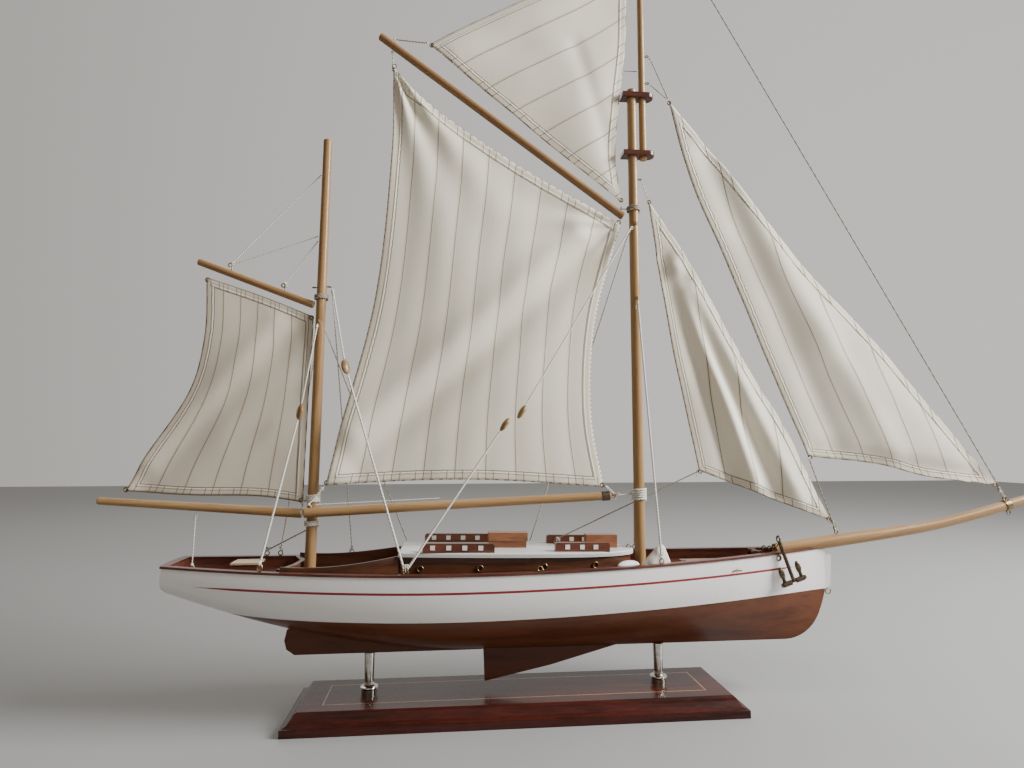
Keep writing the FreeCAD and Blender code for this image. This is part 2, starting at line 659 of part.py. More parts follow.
# Two cap blocks, round at the fore end, hold the topmast ahead of the mainmast.
def cap_block(level, label):
    length, width, thick = mm("cap_length"), mm("cap_width"), mm("cap_thick")
    fore = 107.2 + length - width / 2
    half = width / 2
    nose = Part.Arc(Vector(fore, -half, 0), Vector(fore + half, 0, 0), Vector(fore, half, 0))
    rim = Part.makePolygon([Vector(fore, half, 0), Vector(107.2, half, 0),
                            Vector(107.2, -half, 0), Vector(fore, -half, 0)])
    plan = Part.Face(Part.Wire([nose.toShape()] + rim.Edges))
    block = plan.extrude(Vector(0, 0, thick))
    blank = made(block.makeFillet(1.2, [e for e in block.Edges if abs(e.Length - thick) > 0.1]))
    blank.Placement = Placement(Vector(0, 0, level), Rotation())
    return keep(cut(cut(blank, main_mast), topmast), label)


cap_block(mm("lower_cap_at"), "lower_cap")
cap_block(mm("upper_cap_at"), "upper_cap")

# A brass band near the bowsprit's end takes the stay.
def along_bowsprit(x, off=0.0):
    """A point on the bowsprit's middle line, moved off it square to the line and upward."""
    here = next(
        Vector(x, 0, z0 + (z1 - z0) * (x - x0) / (x1 - x0))
        for (x0, z0, _), (x1, z1, _) in zip(BOWSPRIT, BOWSPRIT[1:])
        if x0 <= x <= x1
    )
    slope = bowsprit_run.tangent(bowsprit_run.parameter(here))[0]
    return here + Vector(-slope.z, 0, slope.x) * off, slope


band_middle, band_slope = along_bowsprit(500)
sleeve = rod(tuple(band_middle - band_slope * 3), tuple(band_middle + band_slope * 3), 5.6, "band")
band_eyes = [ring(tuple(along_bowsprit(500, off)[0]), (0, 1, 0), 1.9, 0.55) for off in (7.2, -7.2)]
bowsprit_band = keep(cut(fuse([sleeve] + band_eyes), bowsprit_form), "bowsprit_band")

# ---------------------------------------------------------------- eyes on the spars


def radius_at(level, foot_level, top_level, foot_radius, top_radius):
    share = (level - foot_level) / (top_level - foot_level)
    return foot_radius + (top_radius - foot_radius) * share


def main_radius(level):
    return radius_at(level, mast_foot, mm("main_mast_top"), mm("main_mast_foot"),
                     mm("main_mast_head"))


def topmast_radius(level):
    return radius_at(level, mm("lower_cap_at") - 3, mm("topmast_top"), mm("topmast_foot"),
                     mm("topmast_head"))


def mizzen_radius(level):
    return radius_at(level, mast_foot, mm("mizzen_top"), mm("mizzen_foot"), mm("mizzen_head"))


def spar_eye(middle, radius, facing, major=1.6):
    """A screw eye that stands out from a spar towards facing."""
    facing = Vector(*facing)
    place = Vector(*middle) + facing * (radius + major + 0.9)
    return eye(tuple(place), axis=(0, 0, 1) if abs(facing.y) < 0.5 else (1, 0, 0),
               down=tuple(facing * -1), major=major, shank=3.2)


MAIN_EYES = [(503, (1, 0, 0)), (455, (0, -1, 0)), (455, (0, 1, 0)), (380, (0, -1, 0)),
             (380, (0, 1, 0))]
TOPMAST_EYES = [(826, (1, 0, 0)), (634, (1, 0, 0)), (605, (1, 0, 0))]
MIZZEN_EYES = [(386, (1, 0, 0)), (385, (-1, 0, 0)), (352, (0, -1, 0)), (352, (0, 1, 0))]
main_eyes = [spar_eye((main_mast_at, 0, z), main_radius(z), way) for z, way in MAIN_EYES]
topmast_eyes = [spar_eye((topmast_at, 0, z), topmast_radius(z), way) for z, way in TOPMAST_EYES]
mizzen_eyes = [spar_eye(mizzen_point(z), mizzen_radius(z), way) for z, way in MIZZEN_EYES]
sprit_eye_place, sprit_slope = along_bowsprit(317, 8.4)
sprit_up = Vector(-sprit_slope.z, 0, sprit_slope.x)
sprit_eye = eye(tuple(sprit_eye_place), down=tuple(sprit_up * -1), major=1.7, shank=3.4)
mast_eyes = keep(group(main_eyes + topmast_eyes + mizzen_eyes + [sprit_eye]), "spar_eyes")
keep(cut(main_mast, mast_eyes), "main_mast")
keep(cut(topmast, mast_eyes), "topmast")
keep(cut(mizzen_mast, mast_eyes), "mizzen_mast")
keep(cut(bowsprit_form, mast_eyes), "bowsprit")

# ---------------------------------------------------------------- cords and ties

CORD = mm("cord_radius")


def cord(start, end, radius=CORD):
    """A taut line between two points."""
    return rod(tuple(start), tuple(end), radius, "line")


def turns(middle, mast_radius, levels, radius, axis=(0, 0, 1)):
    """Turns of cord round a mast, just clear of it. middle gives the mast's line by height."""
    reach_out = mast_radius + radius + 0.25
    return [ring(tuple(middle(level)), axis, reach_out, radius, "turn") for level in levels]


def main_middle(level):
    return Vector(main_mast_at, 0, level)


# The main boom rests against the starboard side of the mizzen mast, so the main boom, gaff
# and their sails are drawn on the centre plane and turned a little about the mainmast.
main_turn = Placement(Vector(0, 0, 0), Rotation(Vector(0, 0, 1), mm("sail_turn")),
                      Vector(main_mast_at, 0, 0))


def swung(things, label):
    turned_group = group(things, label)
    turned_group.Placement = main_turn
    return keep(turned_group, label)


def sail(edges, label):
    """A flat cloth from its edges, each a run of (x, z) points."""
    wires = [smooth([(x, 0, z) for x, z in edge]) if len(edge) > 2 else
             Part.LineSegment(Vector(edge[0][0], 0, edge[0][1]),
                              Vector(edge[1][0], 0, edge[1][1])).toShape() for edge in edges]
    thick = mm("sail_thick")
    cloth = Part.Face(Part.Wire(wires)).extrude(Vector(0, thick, 0))
    thing = made(cloth, label)
    thing.Placement = Placement(Vector(0, -thick / 2, 0), Rotation())
    return thing


# ---------------------------------------------------------------- mainsail and its boom

boom_fore, boom_aft = (90, 0, 189.2), (-193, 0, 176.9)
boom = spar(boom_fore, boom_aft, 3.9, 4.4, "boom_spar", 1.2)
boom_line = (Vector(*boom_aft) - Vector(*boom_fore)).normalize()
ferrule_start = Vector(*boom_fore) + boom_line * 1.5
ferrule = rod(tuple(ferrule_start), tuple(ferrule_start + boom_line * 7), 4.5, "ferrule_sleeve")
swung([cut(ferrule, boom)], "boom_ferrule")
boom_ring = ring((93.2, 0, 189.3), (0, 1, 0), 1.9, 0.55)
boom_shank = rod((91.3, 0, 189.3), (87.5, 0, 189.2), 0.55)
boom_hook = fuse([boom_ring, boom_shank])
swung([cut(boom, boom_hook)], "main_boom")
boom_turn_levels = (185.4, 187.7, 190.0, 192.3, 194.6)
boom_lashing = turns(main_middle, main_radius(190), boom_turn_levels, 1.1)
main_clew, main_tack = (-174.5, 201.5), (83.5, 197.5)
boom_rigging = boom_lashing + [boom_hook]
boom_rigging.append(cord((95.9, 0, 189.6), (109.8, 0, 190.4)))
boom_rigging.append(cord((-176, 0, 200), (-189.5, 0, 183.6)))
boom_rigging.append(cord((-182, 0, 184.2), (-72, 0, 188.6), 0.45))
swung(boom_rigging, "main_boom_rigging")
main_peak, main_throat = (-120.5, 603), (104.2, 455.5)
swung([sail([
    [main_peak, (-111, 592), (-77, 563), (-42, 538), (14, 503.5), main_throat],
    [main_throat, (94.5, 423), (78.6, 366), (72.4, 311), (73.2, 257), main_tack],
    [main_tack, (40, 200.8), (-27, 205), (-89, 205.2), main_clew],
    [main_clew, (-164.5, 245.5), (-134, 375), (-120.8, 520), main_peak],
], "mainsail_cloth")], "mainsail")

# ---------------------------------------------------------------- main gaff and topsail

gaff_fore, gaff_aft = (107.3, 0, 463.8), (-133.5, 0, 633.6)
gaff = spar(gaff_fore, gaff_aft, 3.9, 3.8, "gaff_spar", 1.2)
swung([gaff], "main_gaff")
gaff_rigging = turns(main_middle, main_radius(470), (470.6, 472.8), 1.0)
gaff_rigging.append(cord((104.9, 0, 471.7), (110.6, 0, 471.7)))
gaff_rigging.append(cord((-120.9, 0, 604.3), (-121.8, 0, 619.6)))
gaff_rigging.append(cord((-87.5, 0, 630.2), (-121, 0, 631.4)))
gaff_rigging.append(cord((111.2, 0, 617), (124.2, 0, 617.4), 0.45))
gaff_rigging.append(cord((117.8, 0, 757.6), (124.9, 0, 758.4), 0.45))
swung(gaff_rigging, "main_gaff_rigging")
top_clew, top_tack, top_head = (-86, 629.2), (106, 478.5), (116.5, 757)
swung([sail([
    [top_clew, top_tack],
    [top_tack, (100.8, 530), (105.5, 586), (112.6, 646), (114.8, 700), top_head],
    [top_head, (66, 719), (10.5, 685.5), (-52, 650.5), top_clew],
], "topsail_cloth")], "topsail")

# ---------------------------------------------------------------- mizzen boom, gaff and sail

mizzen_boom_fore, mizzen_boom_aft = (-196.2, 0, 175.8), (-372.8, 0, 188.5)
keep(spar(mizzen_boom_fore, mizzen_boom_aft, 4.4, 3.2, "mizzen_boom_spar", 1.2), "mizzen_boom")
mizzen_turns = turns(mizzen_point, mizzen_radius(178), (165.5, 167.8, 186.6, 188.9, 191.2), 1.1,
                     tuple(mizzen_line))
mizzen_boom_lines = mizzen_turns + [
    cord((-196.4, 0, 181), (-196, 0, 184.8)),
    cord((-289, 0, 178), (-289, -4, 131.2)),
]
keep(group(mizzen_boom_lines), "mizzen_boom_rigging")
mizzen_tack, mizzen_clew = (-195.6, 185.5), (-350.7, 196.6)
mizzen_throat, mizzen_peak = (-191, 357.6), (-288.5, 392.5)
keep(sail([
    [mizzen_peak, (-240, 376.5), mizzen_throat],
    [mizzen_throat, (-193.6, 270), mizzen_tack],
    [mizzen_tack, (-234, 191.2), (-296, 192.8), mizzen_clew],
    [mizzen_clew, (-336.5, 224.5), (-300.2, 285.2), (-288.2, 340), mizzen_peak],
], "mizzen_cloth"), "mizzen_sail")

mizzen_gaff_fore, mizzen_gaff_aft = Vector(-191, 0, 368.2), Vector(-296.4, 0, 407.2)
mizzen_gaff_way = (mizzen_gaff_aft - mizzen_gaff_fore).normalize()
gaff_up = (mizzen_gaff_way.z, 0, -mizzen_gaff_way.x)
gaff_eyes = [eye(place, down=tuple(Vector(*gaff_up) * -1), major=1.5, shank=3.4)
             for place in ((-268, 0, 404.6), (-219.4, 0, 386.4))]
mizzen_gaff_spar = spar(tuple(mizzen_gaff_fore), tuple(mizzen_gaff_aft), 3.5, 3.3,
                        "mizzen_gaff_spar", 1.1)
keep(cut(mizzen_gaff_spar, group(gaff_eyes)), "mizzen_gaff")
mizzen_halyards = [
    cord((-266.6, 0, 406.2), (-187.7, 0, 494.7)),
    cord((-266.2, 0, 405.3), (-188.6, 0, 434.6)),
    cord((-217.9, 0, 387.7), (-188.7, 0, 430.2)),
]
mizzen_gaff_turns = turns(mizzen_point, mizzen_radius(370), (374.6, 376.8), 1.0,
                          tuple(mizzen_line))
keep(group(mizzen_gaff_turns + gaff_eyes + mizzen_halyards), "mizzen_gaff_rigging")

# ---------------------------------------------------------------- headsails

jib_head, jib_tack, jib_clew = (157, 587.5), (490.8, 196.6), (290.4, 225.9)
keep(sail([
    [jib_head, (198.7, 538), (291, 422), (370, 338.2), (412, 288.2), jib_tack],
    [jib_tack, (418, 205), (363.5, 218), jib_clew],
    [jib_clew, (283.3, 243.6), (249, 326), (219.3, 403.8), (176.5, 509.3), jib_head],
], "jib_cloth"), "jib")
stay_head, stay_tack, stay_clew = (133, 482), (308, 164.5), (178, 212.4)
keep(sail([
    [stay_head, (171.6, 423.6), (232, 312.3), (267.5, 253.7), stay_tack],
    [stay_tack, (254, 183.5), (215, 198.8), stay_clew],
    [stay_clew, (163, 288.5), (156, 325), (142.3, 415), stay_head],
], "staysail_cloth"), "staysail")

# ---------------------------------------------------------------- standing rigging


def rail_top(x, side):
    """Just above the ring on the rail, where a line is made fast to it."""
    x, y, z = rail_eye_place(x, side)
    return Vector(x, y, z + 2.7)


keep(cord((498.2, 0, 186.2), (136.4, 0, 823.4)), "forestay")


def fiddle_block(middle, along):
    """A long oval block, rounded both ways, that lies along its line."""
    block = doc.addObject("Part::Ellipsoid", "fiddle_block")
    bind(block, Radius1=7.6, Radius2=4.2, Radius3=2.6)
    block.Angle1, block.Angle2, block.Angle3 = -90, 90, 360
    block.Placement = Placement(Vector(*middle), Rotation(Vector(0, 0, 1), Vector(*along)))
    return block


def rigged(points, radius=CORD, blocks=()):
    """A line through its points. At each block it stops short of the block's two ends."""
    stops = [Vector(*p) for p in points]
    solids = []
    for number, (start, end) in enumerate(zip(stops, stops[1:])):
        way = (end - start).normalize()
        first = start + way * (8.0 if number in blocks else 0)
        last = end - way * (8.0 if number + 1 in blocks else 0)
        solids.append(cord(first, last, radius))
    return solids


main_backstay = [(113.6, -8.3, 451.5), (1.0, -35.5, 267), (-14.5, -38, 255.5),
                 rail_top(-99, -1)]
block_one, block_two = Vector(*main_backstay[1]), Vector(*main_backstay[2])
upper_way = (Vector(*main_backstay[0]) - block_one).normalize()
lower_way = (block_two - Vector(*main_backstay[3])).normalize()
mizzen_fore_stay = [(-174.0, -1.6, 383.5), (-157.6, -20, 308), rail_top(-99, -1) + Vector(-1.6, 0, 0)]
mizzen_aft_stay = [(-185.6, -8.4, 348.8), (-197, -18, 267), rail_top(-221, -1)]
fore_way = (Vector(*mizzen_fore_stay[0]) - Vector(*mizzen_fore_stay[1])).normalize()
aft_way = (Vector(*mizzen_aft_stay[0]) - Vector(*mizzen_aft_stay[1])).normalize()
blocks = [fiddle_block(block_one, upper_way), fiddle_block(block_two, lower_way),
          fiddle_block(mizzen_fore_stay[1], fore_way), fiddle_block(mizzen_aft_stay[1], aft_way)]
keep(group(blocks), "rigging_blocks")

main_lines = [cord(block_one + upper_way * 7.9, main_backstay[0]),
              cord(block_two - lower_way * 7.9, main_backstay[3] + Vector(1.6, 0, 0)),
              cord(block_one - upper_way * 7.0 + Vector(-1.5, 0, -1),
                   block_two + lower_way * 7.6 + Vector(0.6, 0, 1.2), 0.5)]
main_lines.append(cord((115.5, 8.3, 451.5), rail_top(18, 1)))
main_lines.append(cord((118.2, -8.0, 376.6), rail_top(125, -1)))
main_lines.append(cord((118.2, 8.0, 376.6), rail_top(125, 1)))
main_lines.append(cord((138.4, 0, 632), (156, 0, 590.6)))
main_lines.append(cord((138.2, 0, 603.4), (154.8, 0, 589.8)))
main_lines.append(cord((127.2, 0, 500.6), (132.2, 0, 484.4)))
main_lines.append(cord((492.6, 0, 193.6), (495.9, 0, 186.9)))
main_lines.append(cord((291.8, 0, 222), (313.2, 0, 160.6)))
main_lines.append(cord((310, 0, 162.4), (313.6, 0, 158.8)))
main_lines.append(cord((176.4, 0.4, 211.2), (43.2, 19, 147.6)))
keep(group(main_lines), "main_rigging")

mizzen_lines = rigged(mizzen_fore_stay, CORD, blocks=(1,)) + rigged(mizzen_aft_stay, CORD, blocks=(1,))
mizzen_lines.append(cord((-175.0, 2.6, 383.5), rail_top(-158, 1)))
mizzen_lines.append(cord((-182.6, 7.0, 349.2), rail_top(-102, 1)))
mizzen_lines.append(cord((-186.4, 7.0, 349.2), rail_top(-224, 1)))
mizzen_lines.append(cord((-188.6, 5.8, 162.4), rail_top(-236, 1) + Vector(1.2, -1, 0.6)))
keep(group(mizzen_lines), "mizzen_rigging")

# ---------------------------------------------------------------- anchor and chain
# A stockless anchor hangs outside the starboard bow by its ring.

anchor_y = -21.6
shank_top, shank_foot = Vector(245.9, anchor_y, 146.4), Vector(258.6, anchor_y, 110)
shank_way = (shank_foot - shank_top).normalize()
crown_way = Vector(-shank_way.z, 0, shank_way.x)
shank = rod(tuple(shank_top), tuple(shank_foot), 1.7)
anchor_ring = ring(tuple(shank_top - shank_way * 2.8), (1, 0, 0), 2.8, 0.8)
shank_collar = rod(tuple(shank_top + shank_way * 9), tuple(shank_top + shank_way * 10.5), 2.3)
crown_pin = rod(tuple(shank_foot - crown_way * 12), tuple(shank_foot + crown_way * 12), 1.0)
crown_end = [rod(tuple(shank_foot + crown_way * (at - 0.7)),
                 tuple(shank_foot + crown_way * (at + 0.7)), 1.8) for at in (-11.8, 11.8)]
keep(fuse([shank, anchor_ring, shank_collar, crown_pin] + crown_end), "anchor_shank")
arms = []
for side in (-1, 1):
    hub_start = shank_foot + crown_way * (side * 2.4)
    hub_end = shank_foot + crown_way * (side * 10.8)
    hub = rod(tuple(hub_start), tuple(hub_end), 2.4)
    root_point = shank_foot + crown_way * (side * 8.6) - shank_way * 1.5
    arm = doc.addObject("Part::Cone", "anchor_arm")
    bind(arm, Radius1=1.8, Radius2=1.1, Height=15)
    arm.Placement = Placement(root_point, Rotation(Vector(0, 0, 1), shank_way * -1))
    palm = doc.addObject("Part::Ellipsoid", "anchor_palm")
    bind(palm, Radius1=5.8, Radius2=2.7, Radius3=1.3)
    palm.Placement = Placement(root_point - shank_way * 9,
                               Rotation(Vector(0, 0, 1), shank_way * -1))
    bare = rod(tuple(shank_foot - crown_way * 30), tuple(shank_foot + crown_way * 30), 1.06)
    arms.append(cut(fuse([hub, arm, palm]), bare))
keep(group(arms), "anchor_flukes")

# The chain runs from the windlass over the rail to the anchor's ring.
chain_route = [Vector(236.5, -1, 138.2), Vector(241, -6, 138.4), Vector(244, -11.2, 139.2),
               Vector(245.4, -15.2, 142.0), Vector(245.5, -17.3, 144.6)]
link_pitch, link_major, link_minor = 2.85, 2.0, 0.5
links = []
walked, stage = 0.0, link_pitch / 2
for start, end in zip(chain_route, chain_route[1:]):
    leg = (end - start).Length
    way = (end - start).normalize()
    while stage <= walked + leg:
        flat = way.cross(Vector(0, 0, 1)).normalize()
        edge_on = way.cross(flat)
        axis = flat if len(links) % 2 else edge_on
        links.append(ring(tuple(start + way * (stage - walked)), tuple(axis), link_major, link_minor))
        stage += link_pitch
    walked += leg
keep(group(links), "anchor_chain")

# ---------------------------------------------------------------- check and write

doc.recompute()
for thing in doc.Objects:
    if "Invalid" in thing.State or "Error" in thing.State:
        raise RuntimeError(f"{thing.Name} ({thing.Label}) could not be built: {thing.State}")
for piece in pieces:
    shape = piece.Shape
    if shape.isNull() or not shape.isValid() or not shape.Solids:
        raise RuntimeError(f"{piece.Label} is not a valid solid")
    print(f"{piece.Label}: {len(shape.Solids)} solids, {shape.Volume:.0f} mm3")
for piece in pieces:
    piece.Shape.exportStep(f"parts/{piece.Label}.step")
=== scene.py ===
import math

import bpy
from mathutils import Matrix, Vector, noise


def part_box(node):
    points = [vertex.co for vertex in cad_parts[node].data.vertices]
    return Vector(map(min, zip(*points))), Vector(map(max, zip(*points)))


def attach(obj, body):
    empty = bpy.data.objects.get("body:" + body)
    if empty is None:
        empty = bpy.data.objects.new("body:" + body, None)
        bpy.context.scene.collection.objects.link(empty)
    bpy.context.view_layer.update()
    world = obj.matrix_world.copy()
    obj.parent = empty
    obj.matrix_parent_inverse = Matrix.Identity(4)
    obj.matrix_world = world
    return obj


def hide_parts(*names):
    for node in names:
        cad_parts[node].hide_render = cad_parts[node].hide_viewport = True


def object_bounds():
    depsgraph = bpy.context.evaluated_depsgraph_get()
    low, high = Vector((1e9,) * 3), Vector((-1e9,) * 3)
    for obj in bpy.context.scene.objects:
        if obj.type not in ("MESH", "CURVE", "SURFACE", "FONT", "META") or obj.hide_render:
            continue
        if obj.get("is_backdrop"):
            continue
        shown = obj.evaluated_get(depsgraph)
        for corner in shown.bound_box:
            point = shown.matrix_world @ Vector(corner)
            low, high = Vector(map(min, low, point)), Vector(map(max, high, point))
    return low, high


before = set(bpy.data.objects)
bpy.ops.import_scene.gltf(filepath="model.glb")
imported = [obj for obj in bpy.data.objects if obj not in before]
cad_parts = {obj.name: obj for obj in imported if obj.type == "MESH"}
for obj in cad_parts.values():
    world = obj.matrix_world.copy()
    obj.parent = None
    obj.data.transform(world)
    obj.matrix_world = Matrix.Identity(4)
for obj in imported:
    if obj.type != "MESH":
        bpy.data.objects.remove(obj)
cad_box = [list(corner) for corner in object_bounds()]
bpy.ops.object.select_all(action="DESELECT")

# ------------------------------------------------------------------ camera
# A low view of the ship's starboard side from a little aft of the middle, tipped up slightly.

camera_data = bpy.data.cameras.new("camera")
camera_data.sensor_width = 36.0
camera_data.lens = 22.85
camera = bpy.data.objects.new("camera", camera_data)
camera.location = (-0.06563, -0.61568, 0.23691)
camera.rotation_euler = (math.pi / 2 + 0.0943, 0.0011, -0.0992)
bpy.context.collection.objects.link(camera)
bpy.context.scene.camera = camera

# ------------------------------------------------------------------ floor and light
# A plain pale floor. The room is warm and dim in front of the ship and paler behind it and to the
# right. Most of the light comes from a large cool lamp high on the right.


def feed(tree, socket, value):
    """Joins another node's output to a socket, or sets the socket's own value or colour."""
    if isinstance(value, bpy.types.NodeSocket):
        tree.links.new(value, socket)
    else:
        socket.default_value = (*value, 1) if socket.type == "RGBA" else value


def add(tree, kind, inputs=None, **settings):
    """A new shader node with its settings and inputs."""
    node = tree.nodes.new("ShaderNode" + kind)
    for key, value in settings.items():
        setattr(node, key, value)
    for key, value in (inputs or {}).items():
        feed(tree, node.inputs[key], value)
    return node


def work(tree, operation, *values):
    """One step of arithmetic."""
    return add(tree, "Math", dict(enumerate(values)), operation=operation).outputs[0]


def blend(tree, share, first, second, **settings):
    """A colour part way from the first to the second."""
    return add(tree, "Mix", {0: share, 6: first, 7: second}, data_type="RGBA",
               **settings).outputs[2]


def new_finish(name):
    """A new finish and the tree of its nodes."""
    finish = bpy.data.materials.new(name)
    finish.use_nodes = True
    return finish, finish.node_tree


def cover(tree, inputs, height=None, strength=0.0, depth=0.0):
    """Sets what the surface looks like, with a relief if a height is given."""
    surface = tree.nodes["Principled BSDF"]
    for key, value in inputs.items():
        feed(tree, surface.inputs[key], value)
    if height is not None:
        bump = add(tree, "Bump", {"Strength": strength, "Distance": depth, "Height": height})
        feed(tree, surface.inputs["Normal"], bump.outputs["Normal"])


bpy.ops.mesh.primitive_plane_add(size=7, location=(0, 0, -0.0003))
floor = bpy.context.object
floor.name = "floor"
floor_finish, tree = new_finish("plain_floor")
cover(tree, {"Base Color": (0.31, 0.306, 0.30), "Roughness": 0.55})
floor.data.materials.append(floor_finish)
floor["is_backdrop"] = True

for lamp_name, place, size, power, tint in (
    ("lamp_right", (1.75, -0.52, 1.3), 0.9, 112, (0.97, 0.99, 1.0)),
    ("lamp_front", (-0.6, -2.1, 1.3), 1.6, 3, (1.0, 0.93, 0.84)),
    ("lamp_behind", (-0.6, 1.6, 1.7), 1.6, 8, (1.0, 0.97, 0.93)),
):
    lamp_data = bpy.data.lights.new(lamp_name, "AREA")
    lamp_data.size = size
    lamp_data.energy = power
    lamp_data.color = tint
    lamp = bpy.data.objects.new(lamp_name, lamp_data)
    lamp.location = place
    lamp.rotation_euler = (Vector((0, 0, 0.3)) - Vector(place)).to_track_quat("-Z", "Y").to_euler()
    bpy.context.collection.objects.link(lamp)

room = bpy.data.worlds.new("pale_room")
room.use_nodes = True
tree = room.node_tree
way = add(tree, "TexCoord").outputs["Object"]
towards = add(tree, "VectorMath", {0: way, 1: (0.32, 0.34, 0.05)}, operation="DOT_PRODUCT")
share = work(tree, "ADD", towards.outputs["Value"], 0.35)
feed(tree, tree.nodes["Background"].inputs["Color"],
     blend(tree, share, (0.15, 0.122, 0.098), (0.86, 0.85, 0.82)))
bpy.context.scene.world = room

# ------------------------------------------------------------------ stand board
# Dark mahogany with a moulded edge, stained and varnished to a high gloss. A thin strip of
# paler wood is let into its top, all round.


def new_group(name, inputs):
    """An empty group of nodes that will give out a colour, a roughness and a height."""
    group = bpy.data.node_groups.new(name, "ShaderNodeTree")
    for socket, kind in inputs.items():
        group.interface.new_socket(socket, in_out="INPUT", socket_type="NodeSocket" + kind)
    for socket, kind in (("Colour", "Color"), ("Roughness", "Float"), ("Height", "Float")):
        group.interface.new_socket(socket, in_out="OUTPUT", socket_type="NodeSocket" + kind)
    return group, group.nodes.new("NodeGroupInput").outputs


def give_out(group, *results):
    """Joins the group's colour, roughness and height to its way out."""
    for socket, result in zip(group.nodes.new("NodeGroupOutput").inputs, results):
        group.links.new(result, socket)


def own_place(tree):
    """Where a point lies in the ship's own frame."""
    return add(tree, "TexCoord").outputs["Object"]


def speckle(tree, place, scale, detail=2.0, distortion=0.0, **settings):
    """Uneven cloudy variation from 0 to 1."""
    return add(tree, "TexNoise", {"Vector": place, "Scale": scale, "Detail": detail,
                                  "Distortion": distortion}, **settings).outputs["Fac"]


def grain_group():
    """Wood figure: long dark and light bands, fine pores, and uneven gloss."""
    group, entry = new_group("wood_grain", {
        "Place": "Vector", "Stretch": "Vector", "Light": "Color", "Dark": "Color",
        "Bands": "Float", "Dullness": "Float"})
    drawn = add(group, "VectorMath", {0: entry["Place"], 1: entry["Stretch"]},
                operation="MULTIPLY").outputs[0]
    broad = speckle(group, drawn, 1.0, 5.0, 0.6)
    pores = speckle(group, drawn, 7.0, 3.0)
    bands = work(group, "SINE", work(group, "MULTIPLY", broad, entry["Bands"]))
    share = work(group, "MULTIPLY_ADD", bands, 0.35, pores)
    give_out(group, blend(group, share, entry["Dark"], entry["Light"]),
             work(group, "MULTIPLY_ADD", pores, 0.14, entry["Dullness"]), pores)
    return group


wood_grain = grain_group()


def wood(name, light, dark, stretch, dullness=0.3, coat=0.3, bands=14.0, turn=(0, 0, 0)):
    """A stained or varnished wood. stretch is short along the grain and long across it."""
    finish, tree = new_finish(name)
    turned = add(tree, "Mapping", {"Vector": own_place(tree), "Rotation": turn})
    grain = add(tree, "Group", {
        "Place": turned.outputs["Vector"], "Stretch": stretch, "Light": light, "Dark": dark,
        "Bands": bands, "Dullness": dullness - 0.07}, node_tree=wood_grain).outputs
    cover(tree, {"Base Color": grain["Colour"], "Roughness": grain["Roughness"],
                 "Specular IOR Level": 0.22, "Coat Weight": coat, "Coat Roughness": 0.08},
          grain["Height"], 0.05, 0.0006)
    return finish


def dress(finish, *names):
    """Gives carried-over pieces their finish."""
    for name in names:
        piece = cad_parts[name]
        if not piece.data.materials:
            piece.data.materials.append(finish)
        for place in piece.material_slots:
            place.material = finish


dress(wood("board_mahogany", (0.060, 0.012, 0.008), (0.020, 0.006, 0.004), (9, 70, 70), 0.26,
           0.15), "base_board")
dress(wood("inlay_pale_wood", (0.42, 0.20, 0.09), (0.26, 0.11, 0.05), (30, 220, 220), 0.22, 0.6),
      "base_inlay")

# ------------------------------------------------------------------ pedestals and screws
# Two turned pedestals, polished and nickel plated, with a collar above the foot. Long plated
# screws pass up through them into the keel.


def metal_group():
    """Handled metal: faint cloudy tarnish and soft rubbing marks."""
    group, entry = new_group("handled_metal", {
        "Clean": "Color", "Dull": "Color", "Fineness": "Float", "Polish": "Float"})
    cloud = speckle(group, own_place(group), entry["Fineness"], 6.0)
    narrow = add(group, "MapRange", {"Value": cloud, "From Min": 0.38,
                                     "From Max": 0.68}).outputs["Result"]
    give_out(group, blend(group, narrow, entry["Clean"], entry["Dull"]),
             work(group, "MULTIPLY_ADD", narrow, 0.16, entry["Polish"]), cloud)
    return group


handled_metal = metal_group()


def metal(name, clean, dull, polish, fineness=220.0, relief=0.03):
    """Plated, polished or tarnished metal. A low polish value is a bright one."""
    finish, tree = new_finish(name)
    worn = add(tree, "Group", {"Clean": clean, "Dull": dull, "Fineness": fineness,
                               "Polish": polish}, node_tree=handled_metal).outputs
    cover(tree, {"Metallic": 1.0, "Base Color": worn["Colour"],
                 "Roughness": worn["Roughness"]}, worn["Height"], relief, 0.0004)
    return finish


dress(metal("pedestal_nickel", (0.66, 0.63, 0.57), (0.46, 0.43, 0.37), 0.12), "pedestal_aft",
      "pedestal_fore")
dress(metal("plated_steel", (0.62, 0.62, 0.62), (0.42, 0.42, 0.41), 0.3), "stand_screws")

# ------------------------------------------------------------------ lower hull and fins
# The lower hull is one carved and varnished block. The skeg aft and the centreboard under the
# keel are flat boards of the same wood, glued on.

dress(wood("bottom_mahogany", (0.135, 0.044, 0.018), (0.080, 0.024, 0.010), (8, 70, 70), 0.38,
           0.1), "hull_bottom")
dress(wood("fin_mahogany", (0.105, 0.032, 0.013), (0.060, 0.018, 0.008), (10, 80, 60), 0.4, 0.1),
      "skeg", "centreboard")

# ------------------------------------------------------------------ upper hull
# A smooth shell painted white, satin, with a thin crimson line drawn parallel to the rail.
# The frames inside it are bare plywood.
# The frames inside it are bare plywood.


